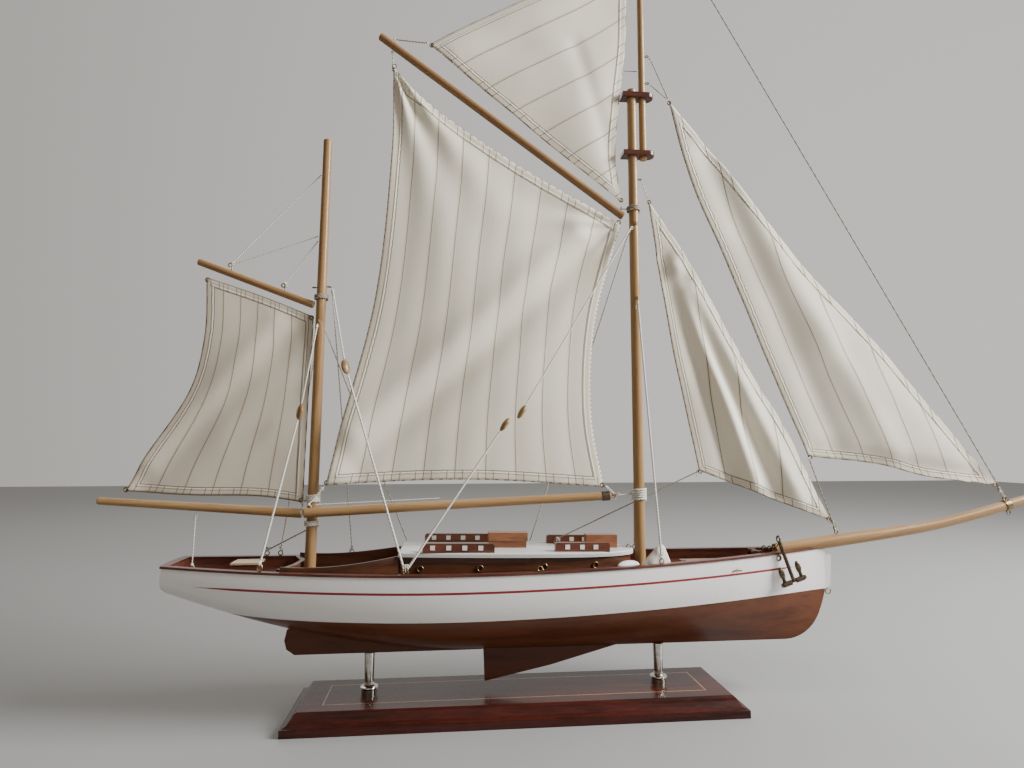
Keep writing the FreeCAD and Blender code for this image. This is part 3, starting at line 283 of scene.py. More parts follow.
def topsides_paint():
    """White paint with a crimson line that follows the sheer."""
    finish, tree = new_finish("topsides_white")
    place = own_place(tree)
    parts = add(tree, "SeparateXYZ", {0: place}).outputs
    sheer_low_x, sheer_low_level, line_drop = -0.07, 0.1276, 0.0135
    run = work(tree, "ADD", parts["X"], -sheer_low_x)
    aft = work(tree, "LESS_THAN", run, 0.0)
    steepness = work(tree, "MULTIPLY_ADD", aft, 0.0349, 0.06647)
    line_level = work(tree, "MULTIPLY_ADD", work(tree, "MULTIPLY", run, run), steepness,
                      sheer_low_level - line_drop)
    off_line = work(tree, "ABSOLUTE", work(tree, "SUBTRACT", parts["Z"], line_level))
    # the line comes to a point at its two ends
    to_stern = work(tree, "MULTIPLY", work(tree, "ADD", parts["X"], 0.281), 0.03)
    to_bow = work(tree, "MULTIPLY", work(tree, "SUBTRACT", 0.268, parts["X"]), 0.05)
    half_width = work(tree, "MINIMUM", work(tree, "MINIMUM", to_stern, to_bow), 0.0011)
    inside = work(tree, "MULTIPLY", work(tree, "SUBTRACT", half_width, off_line), 9000.0)
    line = add(tree, "Clamp", {"Value": inside}).outputs[0]
    tone = speckle(tree, place, 14.0, 4.0)
    white = blend(tree, tone, (0.76, 0.73, 0.69), (0.86, 0.84, 0.81))
    gloss = add(tree, "MapRange", {"Value": tone, "To Min": 0.26, "To Max": 0.40})
    cover(tree, {"Base Color": blend(tree, line, white, (0.24, 0.007, 0.014)),
                 "Roughness": gloss.outputs["Result"], "Coat Weight": 0.25,
                 "Coat Roughness": 0.15}, speckle(tree, place, 90.0), 0.06, 0.001)
    return finish


dress(topsides_paint(), "hull_topsides", "stem_post")
dress(wood("frame_plywood", (0.50, 0.34, 0.19), (0.36, 0.22, 0.12), (30, 30, 90), 0.6, 0.0),
      "hull_frames")

# ------------------------------------------------------------------ deck, rail and cabin
# Deck, bulwark lining, rail and cabin are dark stained mahogany, glued up from thin boards.
# The cabin top is painted white and has gone dull, and the hatches on it are a paler mahogany.


def paint(name, clean, dusty, dullness, fineness=45.0):
    """An even coat of paint or a moulded white, with dust lying unevenly on it."""
    finish, tree = new_finish(name)
    cloud = speckle(tree, own_place(tree), fineness, 4.0)
    cover(tree, {"Base Color": blend(tree, cloud, dusty, clean), "Roughness": dullness})
    return finish


dress(wood("deck_mahogany", (0.15, 0.050, 0.028), (0.065, 0.022, 0.014), (10, 120, 60), 0.35, 0.2),
      "deck")
dress(wood("lining_mahogany", (0.15, 0.045, 0.026), (0.07, 0.02, 0.013), (10, 60, 90), 0.35, 0.15),
      "bulwark_lining")
dress(wood("rail_mahogany", (0.12, 0.036, 0.022), (0.05, 0.015, 0.011), (12, 120, 60), 0.3, 0.3),
      "cap_rail")
dress(wood("cabin_mahogany", (0.115, 0.045, 0.023), (0.048, 0.018, 0.010), (12, 40, 110), 0.32,
           0.3), "cabin_sides", "cockpit_coamings", "thwart", "cockpit_locker", "windlass")
dress(paint("roof_white", (0.62, 0.61, 0.585), (0.50, 0.485, 0.455), 0.42), "cabin_roof")
dress(wood("skylight_mahogany", (0.17, 0.055, 0.028), (0.075, 0.024, 0.014), (14, 90, 90), 0.3,
           0.3), "skylights_aft", "skylights_fore")
dress(wood("hatch_mahogany", (0.30, 0.125, 0.06), (0.16, 0.062, 0.032), (14, 90, 90), 0.35, 0.2),
      "companion_hatch", "fore_hatch")
dress(wood("pale_board", (0.62, 0.48, 0.33), (0.46, 0.33, 0.21), (16, 110, 110), 0.55, 0.0),
      "locker_lid")
dress(wood("plank_wood", (0.34, 0.26, 0.19), (0.20, 0.145, 0.10), (16, 110, 110), 0.55, 0.0),
      "deck_planks")
dress(paint("pane_white", (0.86, 0.85, 0.82), (0.72, 0.70, 0.66), 0.2, 160.0), "window_panes")

# ------------------------------------------------------------------ brass fittings
# Screw eyes, porthole rims, fairleads and the bowsprit band are brass that has gone brown. The
# anchor, its chain and the boom's ferrule are darker still.

aged_brass = metal("aged_brass", (0.34, 0.25, 0.13), (0.12, 0.085, 0.045), 0.3, 500.0, 0.08)
dress(aged_brass, "deck_fittings", "spar_eyes", "portholes", "bowsprit_band")
dress(metal("dark_bronze", (0.16, 0.115, 0.075), (0.055, 0.042, 0.032), 0.36, 420.0, 0.15),
      "anchor_shank", "anchor_flukes", "anchor_chain", "boom_ferrule")

# ------------------------------------------------------------------ masts and spars
# Turned from a honey-brown wood with long straight grain and given a satin varnish. The two
# caps that join topmast and mainmast are dark blocks.

SPAR_LIGHT, SPAR_DARK = (0.43, 0.265, 0.12), (0.29, 0.165, 0.068)
dress(wood("mast_wood", SPAR_LIGHT, SPAR_DARK, (110, 110, 5), 0.36, 0.2, 10.0), "main_mast",
      "topmast", "mizzen_mast")
dress(wood("boom_wood", SPAR_LIGHT, SPAR_DARK, (5, 110, 110), 0.36, 0.2, 10.0), "main_boom",
      "mizzen_boom")
dress(wood("bowsprit_wood", SPAR_LIGHT, SPAR_DARK, (5, 110, 110), 0.36, 0.2, 10.0,
           (0, 0.22, 0)), "bowsprit")
dress(wood("gaff_wood", (0.36, 0.205, 0.09), (0.23, 0.12, 0.05), (5, 110, 110), 0.36, 0.2, 10.0,
           (0, -0.61, 0)), "main_gaff")
dress(wood("mizzen_gaff_wood", (0.36, 0.205, 0.09), (0.23, 0.12, 0.05), (5, 110, 110), 0.36, 0.2,
           10.0, (0, -0.355, 0)), "mizzen_gaff")
dress(wood("cap_mahogany", (0.10, 0.032, 0.02), (0.045, 0.014, 0.010), (12, 90, 110), 0.3, 0.3),
      "lower_cap", "upper_cap")

# ------------------------------------------------------------------ mainsail
# Cream cotton sewn from narrow cloths with brown thread. Every edge has a hem with a rope in
# it. The sail hangs from the gaff's two ends, so it folds from the throat to the clew.


def stripes(tree, place, way, scale, distortion):
    """Close even bands that lie one way."""
    return add(tree, "TexWave", {"Vector": place, "Scale": scale, "Distortion": distortion},
               bands_direction=way).outputs["Fac"]


def cloth_group():
    """Sewn cotton: weave, thread along the seams and hems, and the creases of folding."""
    group, entry = new_group("sewn_cotton", {
        "Cloths": "Float", "Hem": "Float", "Pale": "Color", "Shaded": "Color"})

    def do(operation, *values):
        return work(group, operation, *values)

    def stored(name):
        return add(group, "Attribute", attribute_name=name).outputs["Fac"]

    # seams: the nearest whole cloth, and how wide a cloth is there
    across = do("MULTIPLY", stored("cloth_share"), entry["Cloths"])
    off = do("ABSOLUTE", do("SUBTRACT", across, do("ROUND", across)))
    width = do("DIVIDE", stored("cloth_width"), entry["Cloths"])
    gap = do("MULTIPLY", off, width)
    seam = do("LESS_THAN", gap, 0.0004)
    overlap = do("LESS_THAN", gap, 0.0014)
    # between the seams, short stitches cross the hems of the foot and head like rungs
    half = do("SUBTRACT", do("MULTIPLY", across, 2.0), 0.5)
    rung_off = do("MULTIPLY", do("ABSOLUTE", do("SUBTRACT", half, do("ROUND", half))),
                  do("MULTIPLY", width, 0.5))
    from_ends = do("MINIMUM", stored("from_foot"), stored("from_head"))
    rung = do("MULTIPLY", do("LESS_THAN", rung_off, 0.0004),
              do("LESS_THAN", from_ends, entry["Hem"]))
    # hems: a doubled edge with a row of stitches, and a rope inside that shows as a ridge
    edge = do("MINIMUM", do("MINIMUM", stored("from_leech"), stored("from_luff")), from_ends)
    hem_line = do("LESS_THAN", do("ABSOLUTE", do("SUBTRACT", edge, entry["Hem"])), 0.00042)
    outer_line = do("LESS_THAN", edge, 0.0012)
    doubled = do("MAXIMUM", do("LESS_THAN", edge, entry["Hem"]), overlap)
    rope_off = do("ABSOLUTE", do("SUBTRACT", edge, do("MULTIPLY", entry["Hem"], 0.80)))
    rope = do("MAXIMUM", do("SUBTRACT", 1.0, do("MULTIPLY", rope_off, 900.0)), 0.0)
    threads = do("MAXIMUM", do("MAXIMUM", seam, hem_line), do("MAXIMUM", outer_line, rung))
    place = own_place(group)
    soft = speckle(group, place, 11.0, 5.0)
    creases = speckle(group, place, 13.0, 3.0, 0.7, noise_type="RIDGED_MULTIFRACTAL")
    fibre = speckle(group, place, 900.0)
    woven = do("ADD", stripes(group, place, "X", 260.0, 0.5),
               stripes(group, place, "Z", 260.0, 0.5))
    tone = do("ADD", do("MULTIPLY", soft, 0.7), do("MULTIPLY", fibre, 0.3))
    colour = blend(group, tone, entry["Shaded"], entry["Pale"])
    colour = blend(group, do("MULTIPLY", doubled, 0.5), colour, (0.86, 0.81, 0.74),
                   blend_type="MULTIPLY")
    # the rope's ridge is also painted paler: a painted highlight along its crest
    colour = blend(group, do("MULTIPLY", rope, 0.5), colour, (0.84, 0.81, 0.73))
    colour = blend(group, do("MULTIPLY", threads, 0.85), colour, (0.16, 0.125, 0.088))
    # height in millimetres
    height = do("MULTIPLY", creases, 0.42)
    for layer, rise in ((threads, -0.25), (doubled, 0.3), (woven, 0.03), (rope, 0.7)):
        height = do("MULTIPLY_ADD", layer, rise, height)
    give_out(group, colour, do("MULTIPLY_ADD", fibre, 0.15, 0.78), height)
    return group


sewn_cotton = cloth_group()


def sail_cotton(name, cloths, hem, pale=(0.87, 0.81, 0.67), shaded=(0.73, 0.66, 0.52)):
    """Cotton with so many cloths across the sail, and a hem of this width in metres."""
    finish, tree = new_finish(name)
    cotton = add(tree, "Group", {"Cloths": cloths, "Hem": hem, "Pale": pale, "Shaded": shaded},
                 node_tree=sewn_cotton).outputs
    cover(tree, {"Base Color": cotton["Colour"], "Roughness": cotton["Roughness"],
                 "Sheen Weight": 0.25, "Sheen Roughness": 0.5}, cotton["Height"], 0.7, 0.001)
    return finish


def along(edge, share):
    """A point part way along a smooth edge through its points, as (x, z)."""
    if len(edge) == 1:
        return Vector(edge[0])
    marks = [0.0]
    for first, second in zip(edge, edge[1:]):
        marks.append(marks[-1] + (Vector(second) - Vector(first)).length)
    wanted = share * marks[-1]
    span = max(i for i, mark in enumerate(marks[:-1]) if mark <= wanted + 1e-9)
    slopes = []
    for i in (span, span + 1):
        before, after = max(i - 1, 0), min(i + 1, len(edge) - 1)
        slopes.append((Vector(edge[after]) - Vector(edge[before]))
                      / (marks[after] - marks[before]))
    run = marks[span + 1] - marks[span]
    t = (wanted - marks[span]) / run
    return ((2 * t**3 - 3 * t**2 + 1) * Vector(edge[span])
            + (t**3 - 2 * t**2 + t) * run * slopes[0]
            + (3 * t**2 - 2 * t**3) * Vector(edge[span + 1]) + (t**3 - t**2) * run * slopes[1])


def sew_sail(name, foot, head, leech, luff, shape, across, up):
    """A sail between its four edges. foot and head run from leech to luff, leech and luff from
    foot to head. shape(x, z, u, v) is how far the cloth stands to port, all in millimetres."""
    bpy.ops.object.select_all(action="DESELECT")
    bpy.ops.mesh.primitive_grid_add(x_subdivisions=across, y_subdivisions=up, size=1)
    cloth = bpy.context.object
    cloth.name = name
    low_aft, low_fore = Vector(foot[0]), Vector(foot[-1])
    top_aft, top_fore = Vector(head[0]), Vector(head[-1])
    edges = {"from_leech": leech, "from_luff": luff, "from_foot": foot, "from_head": head}
    runs = {key: [along(edge, i / 60) for i in range(61)] for key, edge in edges.items()
            if len(edge) > 1}
    kept = {key: [] for key in (*edges, "cloth_share", "cloth_width")}
    for point in cloth.data.vertices:
        u, v = point.co.x + 0.5, point.co.y + 0.5
        flat = ((1 - v) * along(foot, u) + v * along(head, u)
                + (1 - u) * along(leech, v) + u * along(luff, v)
                - (1 - u) * (1 - v) * low_aft - u * (1 - v) * low_fore
                - (1 - u) * v * top_aft - u * v * top_fore)
        step = 0.004
        beside = ((1 - v) * along(foot, min(u + step, 1)) + v * along(head, min(u + step, 1))
                  - (1 - v) * along(foot, max(u - step, 0)) - v * along(head, max(u - step, 0)))
        rising = along(head, u) - along(foot, u)
        square = (abs(beside.x * rising.y - beside.y * rising.x) / rising.length
                  if rising.length > 1 else beside.length)
        kept["cloth_share"].append(u)
        kept["cloth_width"].append(square / (min(u + step, 1) - max(u - step, 0)) / 1000)
        for key in edges:
            kept[key].append(min((flat - spot).length for spot in runs[key]) / 1000
                             if key in runs else 1.0)
        point.co = (flat.x / 1000, shape(flat.x, flat.y, u, v) / 1000, flat.y / 1000)
    for key, values in kept.items():
        layer = cloth.data.attributes.new(key, "FLOAT", "POINT")
        layer.data.foreach_set("value", values)
    bpy.ops.object.mode_set(mode="EDIT")
    bpy.ops.mesh.select_all(action="SELECT")
    bpy.ops.mesh.remove_doubles(threshold=0.00002)
    bpy.ops.object.mode_set(mode="OBJECT")
    bpy.ops.object.shade_smooth()
    return cloth


def fold(x, z, start, end, width):
    """1 on the line of a fold and fading away to its sides and past its ends."""
    run = Vector(end) - Vector(start)
    here = Vector((x, z)) - Vector(start)
    share = max(0.0, min(1.0, here.dot(run) / run.length_squared))
    return math.exp(-(((here - run * share).length / width) ** 2))


MAIN_MAST_X = 0.118
MAIN_TURN = 1.85


def hang(cloth, finish, node, body, swing=0.0):
    """Turns the cloth into line with its boom, thickens it and sets it on the ship."""
    if swing:
        cloth.data.transform(Matrix.Translation((MAIN_MAST_X, 0, 0))
                             @ Matrix.Rotation(math.radians(swing), 4, "Z")
                             @ Matrix.Translation((-MAIN_MAST_X, 0, 0)))
    bpy.ops.object.select_all(action="DESELECT")
    cloth.select_set(True)
    bpy.context.view_layer.objects.active = cloth
    thick = cloth.modifiers.new("thick", "SOLIDIFY")
    thick.thickness = 0.0005
    thick.offset = 0
    bpy.ops.object.modifier_apply(modifier="thick")
    cloth.data.materials.append(finish)
    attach(cloth, body)
    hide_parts(node)


main_peak, main_throat = (-120.5, 603), (104.2, 455.5)
main_clew, main_tack = (-174.5, 201.5), (83.5, 197.5)
MAIN_CLOTHS = 8.93


def pleats(x, z, corner, side, rise, count, reach):
    """Small folds that spread from a corner of the sail and die away from it."""
    away = Vector((x - corner[0], z - corner[1]))
    turn = math.atan2(side * away.x, -away.y)
    return (rise * math.sin(turn * count) * math.exp(-away.length / reach)
            * min(1, away.length / 18))


def main_shape(x, z, u, v):
    belly = -5.0 * math.sin(math.pi * u) * math.sin(math.pi * v) ** 0.8
    diagonal = (6.5 * fold(x, z, (-150, 222), (100, 448), 15)
                * math.sin(math.pi * min(1, u * 1.02)) ** 0.3)
    beside = -5.5 * fold(x, z, (-150, 250), (60, 440), 17)
    fan = pleats(x, z, main_peak, 1, 3.6, 17, 90) + pleats(x, z, main_throat, -1, 1.6, 15, 60)
    puff = -0.5 * abs(math.sin(math.pi * u * MAIN_CLOTHS))
    drift = 2.4 * noise.noise(Vector((x / 70, z / 90, 0.3)))
    return belly + diagonal + beside + fan + puff + drift


mainsail = sew_sail(
    "mainsail_cloth",
    foot=[main_clew, (-89, 205.2), (-27, 205), (40, 200.8), main_tack],
    head=[main_peak, (-111, 592), (-77, 563), (-42, 538), (14, 503.5), main_throat],
    leech=[main_clew, (-164.5, 245.5), (-134, 375), (-120.8, 520), main_peak],
    luff=[main_tack, (73.2, 257), (72.4, 311), (78.6, 366), (94.5, 423), main_throat],
    shape=main_shape, across=90, up=120,
)
hang(mainsail, sail_cotton("mainsail_cotton", MAIN_CLOTHS, 0.0088), "mainsail", "main_boom_set",
     MAIN_TURN)

# ------------------------------------------------------------------ topsail
# A three-cornered sail between the gaff and the topmast, cut from the same cotton. Its cloths
# run up from the gaff side to the mast side.

top_clew, top_tack, top_head = (-86, 629.2), (106, 478.5), (116.5, 757)


def topsail_shape(x, z, u, v):
    rise = -4.0 * math.sin(math.pi * u) * math.sin(math.pi * v)
    crease = 1.5 * fold(x, z, (60, 640), (104, 500), 9)
    crease -= 1.6 * fold(x, z, (-60, 626), (70, 700), 14)
    return rise + crease + 1.8 * noise.noise(Vector((x / 50, z / 50, 3.1)))


topsail = sew_sail(
    "topsail_cloth",
    foot=[top_clew, (-22, 577.6), (42, 527.4), top_tack],
    head=[top_head, (114.8, 700), (112.6, 646), (105.5, 586), (100.8, 530), top_tack],
    leech=[top_clew, (-52, 650.5), (10.5, 685.5), (66, 719), top_head],
    luff=[top_tack],
    shape=topsail_shape, across=70, up=70,
)
hang(topsail, sail_cotton("topsail_cotton", 7.0, 0.0082), "topsail", "main_gaff_set",
     MAIN_TURN)

# ------------------------------------------------------------------ mizzen sail
# A small four-cornered sail abaft the mizzen mast. Its after edge is cut hollow, and its cloths
# follow that curve.

mizzen_tack, mizzen_clew = (-195.6, 185.5), (-350.7, 196.6)
mizzen_throat, mizzen_peak = (-191, 357.6), (-288.5, 392.5)


def mizzen_shape(x, z, u, v):
    rise = -3.5 * math.sin(math.pi * u) * math.sin(math.pi * v)
    slack = 3.2 * fold(x, z, (-335, 205), (-205, 345), 15)
    slack -= 2.2 * fold(x, z, (-330, 222), (-225, 350), 12)
    return rise + slack + 1.6 * noise.noise(Vector((x / 45, z / 60, 7.7)))


mizzen_sail = sew_sail(
    "mizzen_cloth",
    foot=[mizzen_clew, (-296, 192.8), (-234, 191.2), mizzen_tack],
    head=[mizzen_peak, (-240, 376.5), mizzen_throat],
    leech=[mizzen_clew, (-336.5, 224.5), (-300.2, 285.2), (-288.2, 340), mizzen_peak],
    luff=[mizzen_tack, (-193.6, 270), mizzen_throat],
    shape=mizzen_shape, across=60, up=70,
)
# The mizzen's cotton is coloured darker and warmer than the other sails: painted shade and painted
# warm reflected light, as it lies further from the lamp.
hang(mizzen_sail, sail_cotton("mizzen_cotton_painted_shade", 6.3, 0.0072, (0.74, 0.66, 0.53),
                              (0.56, 0.48, 0.37)), "mizzen_sail", "mizzen_boom_set")

# ------------------------------------------------------------------ jib and staysail
# Two three-cornered headsails, hung from the masthead by their upper corners. They are slack,
# so long folds run down from the head, deepest in the staysail.

jib_head, jib_tack, jib_clew = (157, 587.5), (490.8, 196.6), (290.4, 225.9)


def jib_shape(x, z, u, v):
    rise = -5.0 * math.sin(math.pi * min(1, u * 1.1)) * math.sin(math.pi * v) ** 0.8
    slack = 3.0 * fold(x, z, (196, 535), (320, 240), 13)
    slack -= 2.4 * fold(x, z, (215, 520), (380, 225), 14)
    slack += 2.0 * fold(x, z, (300, 232), (470, 206), 9)
    slack += 1.6 * fold(x, z, (300, 300), (330, 330), 18)
    return rise + slack + 2.0 * noise.noise(Vector((x / 55, z / 55, 1.9)))


jib = sew_sail(
    "jib_cloth",
    foot=[jib_clew, (363.5, 218), (418, 205), jib_tack],
    head=[jib_head, (198.7, 538), (291, 422), (370, 338.2), (412, 288.2), jib_tack],
    leech=[jib_clew, (283.3, 243.6), (249, 326), (219.3, 403.8), (176.5, 509.3), jib_head],
    luff=[jib_tack],
    shape=jib_shape, across=70, up=90,
)
hang(jib, sail_cotton("jib_cotton", 6.6, 0.0078), "jib", "sail_jib")

stay_head, stay_tack, stay_clew = (133, 482), (310.6, 163.2), (178, 212.4)


def staysail_shape(x, z, u, v):
    rise = -4.0 * math.sin(math.pi * u) * math.sin(math.pi * v) ** 0.8
    slack = 5.0 * fold(x, z, (150, 420), (212, 205), 9)
    slack -= 6.0 * fold(x, z, (156, 415), (232, 200), 9)
    slack += 4.5 * fold(x, z, (165, 400), (256, 190), 9)
    slack -= 3.0 * fold(x, z, (175, 390), (280, 182), 9)
    return rise + slack + 1.5 * noise.noise(Vector((x / 40, z / 60, 5.2)))


staysail = sew_sail(
    "staysail_cloth",
    foot=[stay_clew, (215, 198.8), (254, 183.5), stay_tack],
    head=[stay_head, (171.6, 423.6), (232, 312.3), (267.5, 253.7), stay_tack],
    leech=[stay_clew, (163, 288.5), (156, 325), (142.3, 415), stay_head],
    luff=[stay_tack],
    shape=staysail_shape, across=70, up=90,
)
hang(staysail, sail_cotton("staysail_cotton", 4.6, 0.0072), "staysail", "sail_staysail")

# ------------------------------------------------------------------ forestay
# Twisted cotton cord, from the eye on the bowsprit's band to the eye at the topmast's head. Each
# end of a line is made fast to its eye with a small knot.


def cord_cotton(name, pale, shaded):
    """Twisted cotton cord, unevenly toned, with painted shade in the grooves between its strands.
    """
    finish, tree = new_finish(name)
    place = own_place(tree)
    lay = stripes(tree, place, "DIAGONAL", 210.0, 0.4)
    # the lay stripes darken the grooves between the strands as painted shade
    tone = work(tree, "MULTIPLY", speckle(tree, place, 700.0, 3.0), lay)
    wide = add(tree, "MapRange", {"Value": tone, "From Max": 0.45}).outputs["Result"]
    cover(tree, {"Base Color": blend(tree, wide, shaded, pale), "Roughness": 0.9}, lay, 0.6,
          0.0003)
    return finish


white_cord = cord_cotton("white_cord", (0.80, 0.77, 0.70), (0.50, 0.46, 0.39))
brown_cord = cord_cotton("brown_cord", (0.38, 0.32, 0.25), (0.20, 0.165, 0.125))


def curve_piece(name, runs, thick, node, body, finish, closed=False):
    """A round cord through one or more runs of control points, in millimetres."""
    data = bpy.data.curves.new(name, "CURVE")
    data.dimensions = "3D"
    data.bevel_depth = thick / 2000
    data.bevel_resolution = 2
    data.resolution_u = 6
    data.use_fill_caps = True
    for run in runs:
        spline = data.splines.new("NURBS")
        spline.points.add(len(run) - 1)
        for point, (x, y, z) in zip(spline.points, run):
            point.co = (x / 1000, y / 1000, z / 1000, 1)
        spline.order_u = 3
        spline.use_cyclic_u = closed
        spline.use_endpoint_u = not closed
    piece = bpy.data.objects.new(name, data)
    bpy.context.collection.objects.link(piece)
    data.materials.append(finish)
    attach(piece, body)
    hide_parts(node)
    return piece


def taut(name, start, end, thick, node, body, finish=white_cord):
    """One tight line between two points."""
    start, end = Vector(start), Vector(end)
    points = [start, start.lerp(end, 0.33), start.lerp(end, 0.67), end]
    piece = curve_piece(name, [[tuple(p) for p in points]], thick, node, body, finish)


def knots(name, places, size, thick, node, body, finish=white_cord, tails=True):
    """A small overhand knot at each place, with a short tail hanging from it."""
    loops, ends = [], []
    for number, (x, y, z) in enumerate(places):
        turn = number * 1.3
        loop = []
        for i in range(15):
            t = 2 * math.pi * i / 15
            a = math.sin(t) + 2 * math.sin(2 * t)
            b = math.cos(t) - 2 * math.cos(2 * t)
            c = -math.sin(3 * t)
            loop.append((x + size * 0.33 * (a * math.cos(turn) - c * math.sin(turn)),
                         y + size * 0.33 * (a * math.sin(turn) + c * math.cos(turn)),
                         z + size * 0.33 * b))
        loops.append(loop)
        side = 1 if number % 2 else -1
        ends.append([(x, y, z), (x + side * size, y - 0.3 * size, z - 0.6 * size),
                     (x + side * 1.6 * size, y - 0.2 * size, z - 1.9 * size),
                     (x + side * 1.3 * size, y, z - 3.2 * size)])
    curve_piece(name, loops, thick, node, body, finish, closed=True)
    if tails:
        curve_piece(name + "_tails", ends, thick * 0.8, node, body, finish)


taut("forestay_line", (498.2, 0, 186.2), (136.4, 0, 823.4), 1.1, "forestay", "ship", brown_cord)
knots("forestay_knots", [(496.6, 0, 189), (138.2, 0, 820.2)], 1.3, 0.8, "forestay", "ship",
      brown_cord)

# ------------------------------------------------------------------ stays of the main mast
# White cord from the eyes on the mast to the eyes on the rail. The starboard backstay is set up
# through two fiddle blocks. The headsails have short lines and sheets too, some of brown cord.


def rail_top(x, side):
    """Just above the ring on the rail, where a line is made fast."""
    beam = 60 - 34 * ((-60 - x) / 247) ** 1.7 if x < -60 else 60 * (1 - ((x + 60) / 364) ** 2)
    if x < -70:
        sheer = 127.6 + 5.6 * ((x + 70) / 235) ** 2
    else:
        sheer = 127.6 + 9.1 * ((x + 70) / 370) ** 2
    return Vector((x, side * (beam - 2.2), sheer + 7.1))


MAIN_RIGGING = ("main_rigging", "ship")
back_top, back_low = Vector((1.0, -35.5, 267)), Vector((-14.5, -38, 255.5))
masthead, back_foot = Vector((113.6, -8.3, 451.5)), rail_top(-99, -1)
upper_way = (masthead - back_top).normalized()
lower_way = (back_low - back_foot).normalized()
for name, start, end, thick, finish in (
    ("starboard_backstay_upper", masthead, back_top + upper_way * 7.9, 1.6, white_cord),
    ("starboard_backstay_lower", back_foot + Vector((1.6, 0, 0)), back_low - lower_way * 7.9, 1.9,
     white_cord),
    ("port_backstay", (115.5, 8.3, 451.5), rail_top(18, 1), 1.6, white_cord),
    ("starboard_shroud", (118.2, -8.0, 376.6), rail_top(125, -1), 1.9, white_cord),
    ("port_shroud", (118.2, 8.0, 376.6), rail_top(125, 1), 1.9, white_cord),
    ("jib_head_lines", (138.4, 0, 632), (156, 0, 590.6), 1.0, brown_cord),
    ("jib_head_lower_line", (138.2, 0, 603.4), (154.8, 0, 589.8), 0.9, brown_cord),
    ("staysail_head_line", (127.2, 0, 500.6), (132.2, 0, 484.4), 1.0, white_cord),
    ("jib_tack_line", (492.6, 0, 193.6), (495.9, 0, 186.9), 1.1, white_cord),
    ("jib_sheet", (291.8, 0, 222), (313.2, 0, 160.6), 1.1, brown_cord),
    ("staysail_tack_line", (311.6, 0, 162), (315.2, 0, 155.6), 1.3, white_cord),
    ("staysail_sheet", (176.4, 0.4, 211.2), (43.2, 19, 147.6), 1.1, brown_cord),
):
    taut(name, start, end, thick, *MAIN_RIGGING, finish)
knots("backstay_knots", [tuple(rail_top(-99, -1) + Vector((1.8, 0, 2))),
                         tuple(rail_top(18, 1) + Vector((0, 0, 2))),
                         (113.4, -8.4, 449.6), (115.3, 8.4, 449.6)], 1.5, 0.9, *MAIN_RIGGING)
knots("shroud_knots", [tuple(rail_top(125, -1) + Vector((0, 0, 3))),
                       tuple(rail_top(125, 1) + Vector((0, 0, 3))),
                       (118.2, -8.4, 373.5), (118.2, 8.4, 373.5)], 1.5, 0.9, *MAIN_RIGGING)
knots("headsail_knots", [(138.8, 0, 631), (156, 0, 592), (177.6, 0.3, 211.6), (291.2, 0, 223.6),
                         (312.6, 0, 162.4), (494.6, 0, 190)], 1.5, 0.9, *MAIN_RIGGING)

# ------------------------------------------------------------------ stays of the mizzen mast
# The same white cord. Each starboard stay has one fiddle block in it, and a thicker rope runs
# from the boom's lashing to the port rail, where it is knotted.

MIZZEN_RIGGING = ("mizzen_rigging", "ship")
fore_block, aft_block = Vector((-157.6, -20, 308)), Vector((-197, -18, 267))
fore_top, aft_top = Vector((-174.0, -1.6, 383.5)), Vector((-185.6, -8.4, 348.8))
fore_foot = rail_top(-99, -1) + Vector((-1.6, 0, 0))
for name, top, block, foot in (
    ("mizzen_fore_stay", fore_top, fore_block, fore_foot),
    ("mizzen_aft_stay", aft_top, aft_block, rail_top(-221, -1)),
):
    taut(name + "_upper", top, block + (top - block).normalized() * 8, 1.5, *MIZZEN_RIGGING)
    taut(name + "_lower", foot, block + (foot - block).normalized() * 8, 1.8, *MIZZEN_RIGGING)
for name, top, foot, thick in (
    ("mizzen_port_stay", (-175.0, 2.6, 383.5), rail_top(-158, 1), 1.2),
    ("mizzen_port_fore_stay", (-182.6, 7.0, 349.2), rail_top(-102, 1), 1.2),
    ("mizzen_port_aft_stay", (-186.4, 7.0, 349.2), rail_top(-224, 1), 1.2),
    ("mizzen_boom_guy", (-188.6, 5.8, 162.4), rail_top(-236, 1) + Vector((1.2, -1, 0.6)), 1.5),
):
    taut(name, top, foot, thick, *MIZZEN_RIGGING)
mizzen_feet = ((-99, -1), (-221, -1), (-102, 1), (-224, 1), (-158, 1))
knots("mizzen_foot_knots", [tuple(rail_top(x, side) + Vector((0, 0, 2.2)))
                            for x, side in mizzen_feet], 1.5, 0.9, *MIZZEN_RIGGING)
knots("mizzen_guy_knot", [tuple(rail_top(-236, 1) + Vector((1.4, -1, 1.6)))], 2.3, 1.3,
      *MIZZEN_RIGGING)
knots("mizzen_head_knots", [(-173.8, -1.8, 381.5), (-185.8, -8.6, 346.6), (-175, 2.8, 381.4)],
      1.4, 0.8, *MIZZEN_RIGGING, tails=False)

# ------------------------------------------------------------------ fiddle blocks
# Four small oval blocks of brown wood, with a paler groove for the line. Two are in the starboard
# backstay and one is in each of the starboard stays of the mizzen mast.

